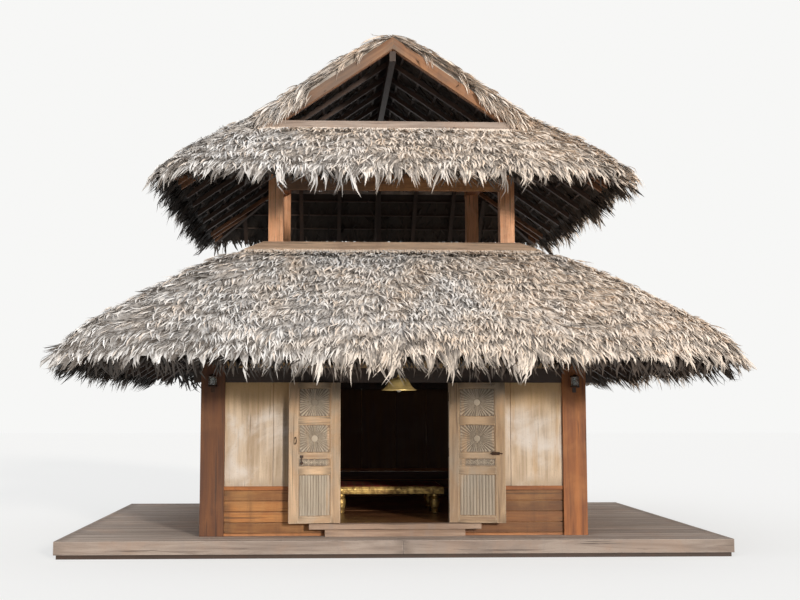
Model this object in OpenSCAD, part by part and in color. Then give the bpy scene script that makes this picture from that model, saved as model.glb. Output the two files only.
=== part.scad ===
// Two-tiered thatched timber house on a low deck, with a pair of outward-opening carved doors.
// Millimetres. Origin on the ground at the middle of the house, +Z up, front towards -Y.

/* [Deck] */
// Deck beyond each side wall
deck_side = 1660; // [900:10:2400]
// Deck beyond the front and the rear wall
deck_end = 530; // [300:10:1500]
// Height of the deck's walking surface
deck_z = 210; // [195:5:300]
// Thickness of the deck boards
deck_board = 30; // [20:1:45]
// Height of the fascia board round the deck
fascia_h = 160; // [100:5:180]
// Thickness of the fascia board
fascia_t = 30; // [18:1:45]
// Height of the sleepers on the ground
sleeper_h = 60; // [40:5:90]
// Width of a sleeper
sleeper_w = 120; // [80:5:200]
// Largest distance between two sleepers
sleeper_step = 760; // [500:10:800]
// Width of a deck joist
joist_w = 60; // [40:5:90]
// Largest distance between two deck joists
joist_step = 700; // [400:10:780]

/* [House] */
// Width over the corner posts
house_w = 4810; // [3800:10:6000]
// Depth over the corner posts
house_d = 4800; // [4400:10:6000]
// Side of a square corner post
post = 295; // [180:5:340]
// Height of the room's floor
floor_z = 365; // [330:5:420]
// Thickness of the room's floor boards
floor_t = 35; // [25:1:50]
// Thickness of the plank walls
wall_t = 55; // [35:1:90]
// How far the walls stand behind the posts' faces
wall_in = 40; // [20:1:80]
// Height of the sill beam under the walls
sill_h = 60; // [40:5:100]
// Top of the lower horizontal boards
dado_z = 767; // [600:5:1000]
// Height of the rail on top of the lower boards
rail_h = 48; // [30:1:80]
// How far the rail stands out of the wall
rail_out = 14; // [6:1:20]
// Height of the tie beams over the doorway
tie_h = 180; // [120:5:240]
// Thickness of the tie beams
tie_t = 110; // [70:5:160]
// How far the tie beams pass the posts
tie_end = 95; // [40:5:200]
// Height of the side wall plates
plate_h = 150; // [100:5:200]
// Width of the wall plates
plate_w = 200; // [120:5:220]

/* [Doorway] */
// Clear width of the doorway
door_w = 1356; // [1100:2:1800]
// Underside of the tie beam over the doorway
door_top = 2100; // [1900:5:2250]
// Width of a door jamb
jamb = 70; // [50:1:110]
// How far the jambs stand out of the wall
jamb_out = 15; // [0:1:25]
// Thickness of a door leaf
leaf_t = 45; // [32:1:60]
// Gap round the door leaves
leaf_gap = 6; // [5:0.5:10]
// Distance of the meeting line to the left of the middle
meet_left = 25; // [0:1:60]
// Distance of the hinge axis in front of the jambs
hinge_out = 15; // [13:0.5:25]
// Distance of the leaf's outer face behind the hinge axis
hinge_back = 5; // [4:0.5:9]
// Radius of a hinge knuckle
knuckle_r = 6; // [5:0.5:7]
// Radius of a hinge pin
pin_r = 3; // [2:0.5:3.5]
// Angle between an open leaf and the wall
leaf_lean = 10; // [6:1:60]
// Width of a leaf's stiles
stile = 118; // [80:1:140]
// Height of a leaf's bottom rail
foot_rail = 81; // [50:1:120]
// Height of a leaf's reeded panel
reeded_h = 515; // [300:5:560]
// Height of the rails between a leaf's panels
mid_rail = 91; // [50:1:110]
// Height of a leaf's narrow panel
narrow_h = 106; // [60:1:140]
// Height of a leaf's lower sunburst panel
burst_h = 350; // [250:5:380]
// Width of a leaf's top rail
head_rail = 64; // [40:1:100]
// Depth of the recessed leaf panels
panel_in = 13; // [10:1:16]
// Height of the pull above the leaf's foot
pull_up = 1010; // [800:10:1200]
// Number of rays in a carved sunburst
rays = 36; // [16:2:48]
// Radius of the round middle of a sunburst
burst_r = 40; // [20:1:60]
// Height of the carved rays
ray_out = 8; // [4:0.5:9]
// Number of reeds in the reeded panel
reeds = 11; // [6:1:14]
// Height of the reeds
reed_out = 8; // [4:0.5:9]
// Width of the threshold board
sill_board_w = 2120; // [1800:10:2600]
// Distance that the threshold board stands out of the wall
sill_board_out = 150; // [90:5:260]
// Thickness of the threshold board
sill_board_t = 65; // [40:5:90]
// Width of the step under the threshold
step_w = 1730; // [1300:10:2000]
// Distance that the step stands out of the wall
step_out = 110; // [60:5:250]

/* [Lower roof] */
// Overhang of the lower roof beyond the posts
lower_over = 1530; // [900:10:1900]
// Height of the lower roof's eave edge
lower_eave_z = 2400; // [2300:5:2700]
// Height of the lower roof's top edge
lower_top_z = 3760; // [3500:5:4100]
// Vertical thickness of the lower thatch
lower_thatch = 200; // [120:5:260]
// How far the thatch fringe hangs below the lower eave edge
lower_drip = 310; // [210:5:340]
// Number of thatch courses on the lower roof
lower_courses = 9; // [5:1:12]
// Extra height in the middle of the lower slopes
lower_swell = 150; // [0:5:200]
// Height of the step at a thatch course's end
course_step = 32; // [10:1:45]
// Width of a rafter
rafter_w = 60; // [40:5:80]
// Upright depth of a lower rafter
rafter_h = 110; // [80:5:140]
// Depth of the seat that a rafter has on its plate
rafter_seat = 25; // [10:1:35]
// Largest distance between two lower rafters
rafter_step = 700; // [400:10:790]

/* [Loft] */
// Width over the four main posts
loft_w = 3220; // [2600:10:3800]
// Depth over the four main posts
loft_d = 3810; // [3000:10:4200]
// Side of a square main post
main_post = 190; // [120:5:230]
// Thickness of the rim boards round the main posts
rim_t = 60; // [40:5:80]
// Height of the rim boards
rim_h = 430; // [360:5:500]
// Top of the rim boards and of the sloping sill board
rim_z = 3930; // [3900:5:4250]
// Distance that the sloping sill board reaches out
sill_run = 230; // [150:5:320]
// Fall of the sloping sill board
sill_fall = 126; // [60:2:160]
// Thickness of the sloping sill board
sill_t = 35; // [22:1:50]
// How far the top edge of the lower thatch reaches under the sill board
thatch_under = 40; // [20:5:80]

/* [Upper roof] */
// Height of the upper thatch at the ridge
ridge_z = 6630; // [6200:10:7000]
// Height of the upper roof's eave edge
upper_eave_z = 4632; // [4500:5:4800]
// Overhang of the upper roof beyond the main posts at the sides
upper_over = 1310; // [900:10:1500]
// Overhang of the upper roof beyond the main posts at the front and rear
skirt_over = 1125; // [800:10:1300]
// Distance of the open gables in front of the main posts
gable_out = 215; // [120:5:320]
// Distance of the gables' feet beyond the main posts at the sides
gable_foot = 200; // [80:2:240]
// Vertical thickness of the upper thatch
upper_thatch = 120; // [90:5:180]
// How far the thatch fringe hangs below the upper eave edge
upper_drip = 230; // [150:5:300]
// Number of thatch courses on a skirt
skirt_courses = 4; // [2:1:6]
// Number of thatch courses between the skirts' height and the ridge
gable_courses = 5; // [3:1:8]
// Rounding of the upper thatch's top in the middle of its slope
upper_swell = 150; // [0:5:200]
// Upright depth of an upper rafter
upper_rafter_h = 70; // [50:5:100]
// Largest distance between two upper rafters
upper_rafter_step = 950; // [500:10:1100]
// Height of the upper plates
upper_plate_h = 140; // [100:5:180]
// Height of the plank along the bottom of a gable
gable_plank_h = 92; // [60:2:130]
// Half the length of the gable plank
gable_plank_half = 1700; // [1400:10:2000]
// Thickness of the gable plank
gable_plank_t = 30; // [20:1:45]
// Width of the ridge beam
ridge_w = 80; // [60:5:110]
// Height of the ridge beam
ridge_h = 134; // [90:2:180]
// Half the width of the thatch cap on the ridge
cap_half = 300; // [200:10:340]
// Thickness of the thatch cap
cap_t = 30; // [20:1:50]

/* [Lamps] */
// Diameter of the bell lamp's rim
lamp_d = 407; // [300:1:500]
// Height of the bell lamp's rim
lamp_z = 1985; // [1900:5:2050]
// Height of the bell
bell_h = 150; // [110:1:200]
// Thickness of the bell's brass
bell_t = 3; // [2:0.5:5]
// Distance of the bell lamp in front of the wall's posts
lamp_out = 850; // [800:10:1100]
// Radius of the bell lamp's bulb
bulb_r = 32; // [20:1:45]
// Width of a post lantern
lantern_w = 120; // [80:1:160]
// Height of a post lantern's glass
lantern_h = 130; // [90:1:180]
// Height of a post lantern's base
lantern_z = 2035; // [1950:5:2100]

/* [Daybed] */
// Width of the daybed
bed_w = 1520; // [1400:10:2200]
// Depth of the daybed
bed_d = 1100; // [800:10:1400]
// Height of the daybed
bed_h = 370; // [300:5:450]
// Front of the daybed behind the front of the house
bed_back = 1500; // [1300:10:2200]

/* [Hidden] */
$fn = 48;
thatch_colour = [0.60, 0.54, 0.47];
hardwood = [0.42, 0.26, 0.18];
pale_wood = [0.72, 0.68, 0.62];
deck_wood = [0.55, 0.44, 0.38];
brass_colour = [0.72, 0.55, 0.25];
half_w = house_w / 2;
half_d = house_d / 2;
deck_half_w = half_w + deck_side;
deck_half_d = half_d + deck_end;
deck_under = deck_z - deck_board;
wall_y = half_d - wall_in;
wall_x = half_w - wall_in;
jamb_y = wall_y + jamb_out;
hinge_y = jamb_y + hinge_out;
inner_w = half_w - post;
inner_d = half_d - post;
loft_x = loft_w / 2;
loft_y = loft_d / 2;
rim_x = loft_x + rim_t;
rim_y = loft_y + rim_t;
eave_x = half_w + lower_over;
eave_y = half_d + lower_over;
top_x = rim_x + sill_run - thatch_under;
top_y = rim_y + sill_run - thatch_under;
far = 20000;
open_joint = 1;
board_gap = 6;
// Air between the end of a joist and a post
joist_clear = 5;
// The rafters lie this little under the thatch
lay_gap = 0.2;
// Room that is cut for a hip rafter between the common ones
hip_room = rafter_w + 4;
// Jack rafters: distance of the last one from a corner, and the largest step of the upper ones
jack_margin = 280;
jack_step = 500;
// Share of a slope's run that the hanging fringe at its eave takes
lower_fringe = 0.12;
// Distance of the fringe's tips behind the eave edge
tip_in = 20;

// Upper roof, seen from the ridge outwards
up_eave_x = loft_x + upper_over;
up_eave_y = loft_y + skirt_over;
gable_y = loft_y + gable_out;
up_slope = (ridge_z - upper_eave_z) / up_eave_x;
hip_x = loft_x + gable_foot;
gable_z = ridge_z - up_slope * hip_x;
skirt_slope = (gable_z - upper_eave_z) / (up_eave_y - gable_y);
upper_fringe = 200;
skirt_fringe = upper_fringe * (up_eave_y - gable_y) / (up_eave_x - hip_x);

// Undersides of the rafters, at a distance out from the middle
function lower_under(out, top, eave) =
  lower_eave_z + (lower_top_z - lower_eave_z) * (eave - out) / (eave - top)
  - lower_thatch - lay_gap - rafter_h;
function upper_under(out) = ridge_z - up_slope * out - upper_thatch - lay_gap - upper_rafter_h;
function skirt_under(out) =
  gable_z - skirt_slope * (out - gable_y) - upper_thatch - lay_gap - upper_rafter_h;

side_plate_z = lower_under(half_w, top_x, eave_x) + rafter_seat;
end_plate_z = lower_under(half_d, top_y, eave_y) + rafter_seat;
post_top = side_plate_z - plate_h;
up_plate_z = upper_under(loft_x) + rafter_seat;
up_end_plate_z = skirt_under(loft_y) + rafter_seat;
main_top = up_plate_z - upper_plate_h;

function spread(a, b, step) = let (n = max(1, ceil((b - a) / step)))
  [for (i = [0:n]) a + (b - a) * i / n];
// Rows from the middle to a distance b on both sides
function rows(b, step) = [for (v = spread(0, b, step)) each v > 0 ? [-v, v] : [v]];

// Plan figures and helpers
module box(x0, x1, y0, y1, z0, z1) translate([x0, y0, z0]) cube([x1 - x0, y1 - y0, z1 - z0]);
module four_ways(x, y) for (sx = [-1, 1], sy = [-1, 1]) translate([sx * x, sy * y, 0]) children();
module both_sides() { children(); mirror([1, 0, 0]) children(); }
module both_ends() { children(); mirror([0, 1, 0]) children(); }

// A section, drawn as distance out and height, run along Y on the +X side
module run_side(section) rotate([90, 0, 0]) linear_extrude(far, center = true) polygon(section);
// The same on the -Y side
module run_end(section) rotate([0, 0, -90]) run_side(section);

// Plan wedges between the hips, for the +X side and the -Y side
module side_wedge(ax, ay, bx, by)
  linear_extrude(far, center = true) polygon([[ax, -ay], [bx, -by], [bx, by], [ax, ay]]);
module end_wedge(ax, ay, bx, by)
  linear_extrude(far, center = true) polygon([[-bx, -by], [bx, -by], [ax, -ay], [-ax, -ay]]);

// Thatch section from the eave (t = 0) to the top (t = 1), with a step at each course
function course_points(n, out0, out1, z0, z1) = [
  for (i = [0:n - 1]) each [
    let (t = i / n) [out0 + (out1 - out0) * t, z0 + (z1 - z0) * t + course_step],
    let (t = (i + 1) / n) [out0 + (out1 - out0) * t, z0 + (z1 - z0) * t]
  ]
];
// How far a slope swells between two distances out, in a curve with a broad top
function swell_at(out, out0, out1, swell) =
  swell * (1 - pow(2 * (out - out0) / (out1 - out0) - 1, 4));
function swollen(points, out0, out1, swell) =
  [for (p = points) [p[0], p[1] + swell_at(p[0], out0, out1, swell)]];
function thatch_section(n, out0, out1, z0, z1, thick, swell, drip, fringe) = concat(
  swollen(course_points(n, out0, out1, z0, z1), out0, out1, swell),
  [[out1, z1 - thick],
   [out0 + (out1 - out0) * fringe, z0 + (z1 - z0) * fringe - thick],
   [out0 - tip_in, z0 - drip]]
);

// Deck
module ground_sleepers() color(deck_wood)
  for (y = concat(
      [for (sy = [-1, 1]) sy * (deck_half_d - fascia_t - sleeper_w / 2)],
      rows(inner_d - sleeper_w / 2 - joist_clear, sleeper_step)))
    box(-deck_half_w + fascia_t, deck_half_w - fascia_t, y - sleeper_w / 2, y + sleeper_w / 2,
        0, sleeper_h);

module deck_joists() color(deck_wood)
  for (x = concat(
      [for (x = spread(half_w + joist_w, deck_half_w - fascia_t - joist_w / 2, joist_step)) each [-x, x]],
      rows(inner_w - joist_w, joist_step)))
    box(x - joist_w / 2, x + joist_w / 2, -deck_half_d + fascia_t, deck_half_d - fascia_t,
        sleeper_h, deck_under);

// Boards run along X; a board's gap parts the side decks from the front and the rear one
module deck_boards() color(deck_wood) {
  both_ends() {
    box(-deck_half_w + fascia_t, deck_half_w - fascia_t, -deck_half_d + fascia_t, -half_d,
        deck_under, deck_z);
    box(-inner_w, inner_w, -half_d - 1, -wall_y, deck_under, deck_z);
  }
  both_sides() {
    box(half_w, deck_half_w - fascia_t, -half_d + board_gap, half_d - board_gap, deck_under, deck_z);
    box(wall_x, half_w + 1, -inner_d, inner_d, deck_under, deck_z);
  }
}

// The side fascias stop at the front and rear ones with an open joint
module deck_fascia() color(deck_wood) {
  both_ends() box(-deck_half_w, deck_half_w, -deck_half_d, -deck_half_d + fascia_t,
                  deck_z - fascia_h, deck_z);
  both_sides() box(deck_half_w - fascia_t, deck_half_w, -deck_half_d + fascia_t + open_joint,
                   deck_half_d - fascia_t - open_joint, deck_z - fascia_h, deck_z);
}

// Floor of the room
module floor_joists() color(hardwood)
  for (y = rows(inner_d - joist_w / 2 - joist_clear, joist_step))
    box(-wall_x + wall_t, wall_x - wall_t, y - joist_w / 2, y + joist_w / 2,
        deck_under, floor_z - floor_t);

module room_floor() color(hardwood) difference() {
  box(-wall_x + wall_t, wall_x - wall_t, -wall_y, wall_y - wall_t, floor_z - floor_t, floor_z);
  four_ways(half_w - post / 2, half_d - post / 2) cube([post, post, 4 * floor_z], center = true);
  both_sides() box(door_w / 2, half_w, -half_d, -wall_y + wall_t, 0, 2 * floor_z);
}

module threshold() color(pale_wood)
  box(-sill_board_w / 2, sill_board_w / 2, -wall_y - sill_board_out, -wall_y,
      floor_z - sill_board_t, floor_z);
module door_step() color(deck_wood)
  box(-step_w / 2, step_w / 2, -wall_y - step_out, -wall_y, deck_z, floor_z - sill_board_t);

// Walls
module corner_posts() color(hardwood) difference() {
  four_ways(half_w - post / 2, half_d - post / 2)
    translate([0, 0, post_top / 2]) cube([post, post, post_top], center = true);
  tie_beams();
}

module wall_sills() color(hardwood) {
  both_ends() box(-inner_w, inner_w, -wall_y, -wall_y + wall_t, deck_under, deck_under + sill_h);
  both_sides() box(wall_x - wall_t, wall_x, -inner_d, inner_d, deck_under, deck_under + sill_h);
}

module lower_boards() color(hardwood) {
  both_sides() box(door_w / 2 + jamb, inner_w, -wall_y, -wall_y + wall_t, deck_under + sill_h, dado_z);
  box(-inner_w, inner_w, wall_y - wall_t, wall_y, deck_under + sill_h, dado_z);
  both_sides() box(wall_x - wall_t, wall_x, -inner_d, inner_d, deck_under + sill_h, dado_z);
}

module wall_rails() color(hardwood) {
  both_sides() box(door_w / 2 + jamb, inner_w, -wall_y - rail_out, -wall_y + wall_t,
                   dado_z, dado_z + rail_h);
  box(-inner_w, inner_w, wall_y - wall_t, wall_y + rail_out, dado_z, dado_z + rail_h);
  both_sides() box(wall_x - wall_t, wall_x + rail_out, -inner_d, inner_d, dado_z, dado_z + rail_h);
}

module front_panels() color(pale_wood) both_sides()
  box(door_w / 2 + jamb, inner_w, -wall_y, -wall_y + wall_t, dado_z + rail_h, door_top);

module over_door_panel() color(pale_wood)
  box(-inner_w, inner_w, -wall_y, -wall_y + wall_t, door_top + tie_h, side_plate_z);

module wall_panels() color(pale_wood) {
  both_sides() {
    box(wall_x - wall_t, wall_x, -inner_d, inner_d, dado_z + rail_h, door_top);
    box(wall_x - wall_t, wall_x, -inner_d, inner_d, door_top + tie_h, post_top);
  }
  box(-inner_w, inner_w, wall_y - wall_t, wall_y, dado_z + rail_h, door_top);
  box(-inner_w, inner_w, wall_y - wall_t, wall_y, door_top + tie_h, side_plate_z);
}

// The front and rear beams pass through the posts; the side beams stop at them
module tie_beams() color(hardwood) {
  both_ends() box(-half_w - tie_end, half_w + tie_end, -wall_y, -wall_y + tie_t,
                  door_top, door_top + tie_h);
  both_sides() box(wall_x - tie_t, wall_x, -inner_d, inner_d, door_top, door_top + tie_h);
}

module door_jambs() color(pale_wood) both_sides() {
  box(door_w / 2, door_w / 2 + jamb, -jamb_y, -wall_y + wall_t, floor_z, door_top);
  box(door_w / 2, door_w / 2 + jamb, -wall_y, -wall_y + wall_t, deck_under + sill_h, floor_z + 1);
}

module side_plates() color(hardwood) both_sides()
  box(half_w - plate_w, half_w, -half_d - tie_end, half_d + tie_end, post_top, side_plate_z);

// The end plates stop where the side slopes' thatch comes down to them
end_plate_half = top_x + (lower_top_z - lower_thatch - end_plate_z)
  * (eave_x - top_x) / (lower_top_z - lower_eave_z) - open_joint;
module end_plates() color(hardwood) both_ends()
  box(-end_plate_half, end_plate_half, -half_d, -half_d + plate_w, side_plate_z, end_plate_z);

// Main posts and the rim under the loft opening
module main_posts() color(hardwood) four_ways(loft_x - main_post / 2, loft_y - main_post / 2)
  translate([-main_post / 2, -main_post / 2, floor_z]) cube([main_post, main_post, main_top - floor_z]);

// A slim strut stands in the middle of the loft's rear opening
strut = 80;
module loft_strut() color(hardwood)
  box(-strut / 2, strut / 2, loft_y - strut, loft_y, rim_z - rim_h, up_plate_z);

module loft_rim() color(hardwood) {
  both_ends() box(-rim_x, rim_x, -rim_y, -loft_y, rim_z - rim_h, rim_z);
  both_sides() box(loft_x, rim_x, -loft_y + open_joint, loft_y - open_joint, rim_z - rim_h, rim_z);
}

// Upright thickness of the sloping board
sill_section_drop = sill_t * norm([sill_run, sill_fall]) / sill_run;
function sill_section(rim) = [
  [rim + sill_run, rim_z - sill_fall], [rim, rim_z],
  [rim, rim_z - sill_section_drop], [rim + sill_run, rim_z - sill_fall - sill_section_drop]
];
// Four sloping boards, mitred at the corners with an open joint
module loft_sill() color(deck_wood) {
  both_sides() intersection() {
    run_side(sill_section(rim_x));
    side_wedge(rim_x, rim_y - open_joint, rim_x + sill_run, rim_y + sill_run - open_joint);
  }
  both_ends() intersection() {
    run_end(sill_section(rim_y));
    end_wedge(rim_x - open_joint, rim_y, rim_x + sill_run - open_joint, rim_y + sill_run);
  }
}

// Lower roof
function lower_rafter_section(rim, top, eave) = let (end = eave - lower_fringe * (eave - top)) [
  [rim, lower_under(rim, top, eave)], [rim, lower_under(rim, top, eave) + rafter_h],
  [end, lower_under(end, top, eave) + rafter_h], [end, lower_under(end, top, eave)]
];

// Hip line in plan, from the top corner to the eave corner
lower_hip_run = norm([eave_x - top_x, eave_y - top_y]);
lower_hip_turn = atan2(eave_y - top_y, eave_x - top_x);
lower_hip_fall = (lower_top_z - lower_eave_z) / lower_hip_run;
hip_start = -(top_x - rim_x) / cos(lower_hip_turn);
hip_end = lower_hip_run * (1 - lower_fringe) - rafter_w;
// The thatch falls away to both sides of a hip, so its rafter lies a little lower
lower_hip_drop = rafter_w / 2 * (lower_top_z - lower_eave_z)
  * max(sin(lower_hip_turn) / (eave_x - top_x), cos(lower_hip_turn) / (eave_y - top_y));

module lower_hip_bar(width) {
  z0 = lower_top_z - lower_thatch - lower_hip_drop;
  translate([top_x, top_y, 0]) rotate([0, 0, lower_hip_turn]) rotate([90, 0, 0])
    linear_extrude(width, center = true) polygon([
      [hip_start, z0 - rafter_h - hip_start * lower_hip_fall],
      [hip_start, z0 - hip_start * lower_hip_fall],
      [hip_end, z0 - hip_end * lower_hip_fall], [hip_end, z0 - rafter_h - hip_end * lower_hip_fall]
    ]);
}
module lower_hips() color(hardwood) difference() {
  both_ends() both_sides() lower_hip_bar(rafter_w);
  side_plates();
  end_plates();
  loft_rim();
}

module lower_rafter_side() color(hardwood) difference() {
  intersection() {
    run_side(lower_rafter_section(rim_x, top_x, eave_x));
    for (y = rows(eave_y - jack_margin, rafter_step))
      box(0, far, y - rafter_w / 2, y + rafter_w / 2, 0, far);
    side_wedge(top_x, top_y, eave_x, eave_y);
  }
  both_ends() lower_hip_bar(hip_room);
  side_plates();
  end_plates();
}
module lower_rafter_end() color(hardwood) difference() {
  intersection() {
    run_end(lower_rafter_section(rim_y, top_y, eave_y));
    for (x = rows(eave_x - jack_margin, rafter_step))
      box(x - rafter_w / 2, x + rafter_w / 2, -far, 0, 0, far);
    end_wedge(top_x, top_y, eave_x, eave_y);
  }
  mirror([0, 1, 0]) both_sides() lower_hip_bar(hip_room);
  end_plates();
  side_plates();
}
module lower_rafters() {
  both_sides() lower_rafter_side();
  both_ends() lower_rafter_end();
}

module lower_thatch_side() color(thatch_colour) intersection() {
  run_side(thatch_section(lower_courses, eave_x, top_x, lower_eave_z, lower_top_z, lower_thatch,
                          lower_swell, lower_drip, lower_fringe));
  side_wedge(top_x, top_y, eave_x, eave_y);
}
module lower_thatch_end() color(thatch_colour) intersection() {
  run_end(thatch_section(lower_courses, eave_y, top_y, lower_eave_z, lower_top_z, lower_thatch,
                         lower_swell, lower_drip, lower_fringe));
  end_wedge(top_x, top_y, eave_x, eave_y);
}
module lower_thatch_right() lower_thatch_side();
module lower_thatch_left() mirror([1, 0, 0]) lower_thatch_side();
module lower_thatch_front() lower_thatch_end();
module lower_thatch_rear() mirror([0, 1, 0]) lower_thatch_end();

// Upper roof frame
plate_past = 95;
up_end_half = (ridge_z - upper_thatch - up_end_plate_z) / up_slope - 2 * open_joint;
module upper_side_plates() color(hardwood) both_sides()
  box(loft_x - main_post, loft_x, -loft_y - plate_past, loft_y + plate_past, main_top, up_plate_z);
module upper_end_plates() color(hardwood) both_ends()
  box(-up_end_half, up_end_half, -loft_y, -loft_y + main_post, up_plate_z, up_end_plate_z);

// The rafters are let into the ridge beam by this much
ridge_bite = 10;
ridge_top = upper_under(ridge_w / 2) + ridge_bite;
module ridge_beam() color(hardwood)
  box(-ridge_w / 2, ridge_w / 2, -gable_y, gable_y, ridge_top - ridge_h, ridge_top);

up_rafter_end = up_eave_x - upper_fringe;
barge_y = gable_y - rafter_w / 2;
rafter_rows = concat([-barge_y, barge_y],
  rows(loft_y - main_post - jack_margin, upper_rafter_step),
  [for (y = spread(gable_y + jack_margin, up_eave_y - jack_margin, jack_step)) each [-y, y]]);
module upper_plan() linear_extrude(far) polygon([
  [0, -gable_y], [hip_x, -gable_y], [up_eave_x, -up_eave_y],
  [up_eave_x, up_eave_y], [hip_x, gable_y], [0, gable_y]
]);
module upper_rafters() color(hardwood) difference() {
  both_sides() intersection() {
    for (y = rafter_rows) translate([0, y, 0]) rotate([90, 0, 0])
      linear_extrude(rafter_w, center = true) polygon([
        [open_joint, upper_under(open_joint)],
        [open_joint, upper_under(open_joint) + upper_rafter_h],
        [up_rafter_end, upper_under(up_rafter_end) + upper_rafter_h],
        [up_rafter_end, upper_under(up_rafter_end)]
      ]);
    upper_plan();
  }
  upper_side_plates();
  ridge_beam();
  both_ends() both_sides() upper_hip_bar(hip_room);
}

up_hip_run = norm([up_eave_x - hip_x, up_eave_y - gable_y]);
up_hip_turn = atan2(up_eave_y - gable_y, up_eave_x - hip_x);
up_hip_fall = (gable_z - upper_eave_z) / up_hip_run;
up_hip_start = 60;
up_hip_end = up_hip_run - norm([upper_fringe, skirt_fringe]) - rafter_w;
up_hip_drop = rafter_w / 2 * max(up_slope * sin(up_hip_turn), skirt_slope * cos(up_hip_turn));
module upper_hip_bar(width) {
  z0 = gable_z - upper_thatch - up_hip_drop;
  translate([hip_x, gable_y, 0]) rotate([0, 0, up_hip_turn]) rotate([90, 0, 0])
    linear_extrude(width, center = true) polygon([
      [up_hip_start, z0 - upper_rafter_h - up_hip_start * up_hip_fall],
      [up_hip_start, z0 - up_hip_start * up_hip_fall],
      [up_hip_end, z0 - up_hip_end * up_hip_fall],
      [up_hip_end, z0 - upper_rafter_h - up_hip_end * up_hip_fall]
    ]);
}
module upper_hips() color(hardwood) both_ends() both_sides() upper_hip_bar(rafter_w);

skirt_rafter_end = up_eave_y - skirt_fringe;
// Rafters from the end plate to the eave, and shorter ones from the hips to the eave
skirt_inner = loft_y - main_post;
skirt_half = (ridge_z - upper_thatch - upper_rafter_h - skirt_under(skirt_inner)) / up_slope
  - rafter_w;
module skirt_rafter(from) rotate([0, 0, -90]) rotate([90, 0, 0])
  linear_extrude(rafter_w, center = true) polygon([
    [from, skirt_under(from)], [from, skirt_under(from) + upper_rafter_h],
    [skirt_rafter_end, skirt_under(skirt_rafter_end) + upper_rafter_h],
    [skirt_rafter_end, skirt_under(skirt_rafter_end)]
  ]);
module skirt_rafters() color(hardwood) both_ends() difference() {
  union() {
    for (x = rows(skirt_half, upper_rafter_step)) translate([x, 0, 0]) skirt_rafter(skirt_inner);
    intersection() {
      both_sides() for (x = spread(skirt_half + jack_step, up_eave_x - jack_margin, jack_step))
        translate([x, 0, 0]) skirt_rafter(gable_y);
      end_wedge(hip_x, gable_y, up_eave_x, up_eave_y);
    }
  }
  upper_end_plates();
  both_sides() mirror([0, 1, 0]) upper_hip_bar(hip_room);
  barge_notch();
}
// Room for the barge rafters where the skirts' rafters pass under them
module barge_notch() both_ends() both_sides() translate([0, barge_y, 0]) rotate([90, 0, 0])
  linear_extrude(hip_room, center = true) polygon([
    [0, upper_under(0) - open_joint], [0, ridge_z],
    [up_rafter_end, ridge_z], [up_rafter_end, upper_under(up_rafter_end) - open_joint]
  ]);

// Upper thatch: the courses above the skirts' height, then those down to the eave
upper_section = concat(
  swollen(concat(course_points(skirt_courses, up_eave_x, hip_x, upper_eave_z, gable_z),
                 course_points(gable_courses, hip_x, 0, gable_z, ridge_z)),
          up_eave_x, 0, upper_swell),
  [[0, ridge_z - upper_thatch],
   [up_rafter_end, ridge_z - up_slope * up_rafter_end - upper_thatch],
   [up_eave_x - tip_in, upper_eave_z - upper_drip]]
);
module upper_thatch_side() color(thatch_colour) intersection() {
  run_side(upper_section);
  upper_plan();
}
module upper_thatch_right() upper_thatch_side();
module upper_thatch_left() mirror([1, 0, 0]) upper_thatch_side();

skirt_section = concat(
  course_points(skirt_courses, up_eave_y, gable_y, upper_eave_z, gable_z),
  [[gable_y, gable_z - upper_thatch],
   [skirt_rafter_end, gable_z - skirt_slope * (skirt_rafter_end - gable_y) - upper_thatch],
   [up_eave_y - tip_in, upper_eave_z - upper_drip]]
);
module skirt() color(thatch_colour) intersection() {
  run_end(skirt_section);
  end_wedge(hip_x, gable_y, up_eave_x, up_eave_y);
}
module upper_thatch_front() skirt();
module upper_thatch_rear() mirror([0, 1, 0]) skirt();

// The cap lies on the top course, and never reaches past it
top_course = hip_x / gable_courses;
cap_slope = up_slope
  - (course_step + swell_at(top_course, up_eave_x, 0, upper_swell)) / top_course;
cap_reach = min(cap_half, top_course);
cap_foot_z = ridge_z - cap_slope * cap_reach;
module ridge_cap() color(thatch_colour) rotate([90, 0, 0])
  linear_extrude(2 * gable_y, center = true) polygon([
    [0, ridge_z + lay_gap], [cap_reach, cap_foot_z + lay_gap], [cap_reach, cap_foot_z + cap_t],
    [0, ridge_z + cap_t], [-cap_reach, cap_foot_z + cap_t], [-cap_reach, cap_foot_z + lay_gap]
  ]);

module gable_planks() color(deck_wood) both_ends()
  box(-gable_plank_half, gable_plank_half, -gable_y - gable_plank_t, -gable_y,
      gable_z, gable_z + gable_plank_h);

// Doors. A leaf is drawn closed with its hinge axis on Z, its free edge towards +X and its
// outer face towards -Y.
leaf_z = floor_z + leaf_gap + 2;
leaf_h = door_top - leaf_gap - leaf_z;
left_w = door_w / 2 - leaf_gap * 1.5 - meet_left;
right_w = door_w / 2 - leaf_gap * 1.5 + meet_left;
// Feet and heights of the four panels, from the foot up: reeded, narrow, sunburst, sunburst
reeded_z = leaf_z + foot_rail;
narrow_z = reeded_z + reeded_h + mid_rail;
burst_z = narrow_z + narrow_h + mid_rail * 0.7;
top_burst_z = burst_z + burst_h + mid_rail;
top_burst_h = leaf_z + leaf_h - head_rail - top_burst_z;
panels = [[reeded_z, reeded_h], [narrow_z, narrow_h], [burst_z, burst_h], [top_burst_z, top_burst_h]];
back_y = hinge_back + leaf_t;
// Plain margin round a panel's carving, the depth it is rooted in the leaf, and half a ray's share
// of the pitch
carving_in = 8;
rooted = 2;
ray_share = 0.28;
boss_h = 7;

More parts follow.
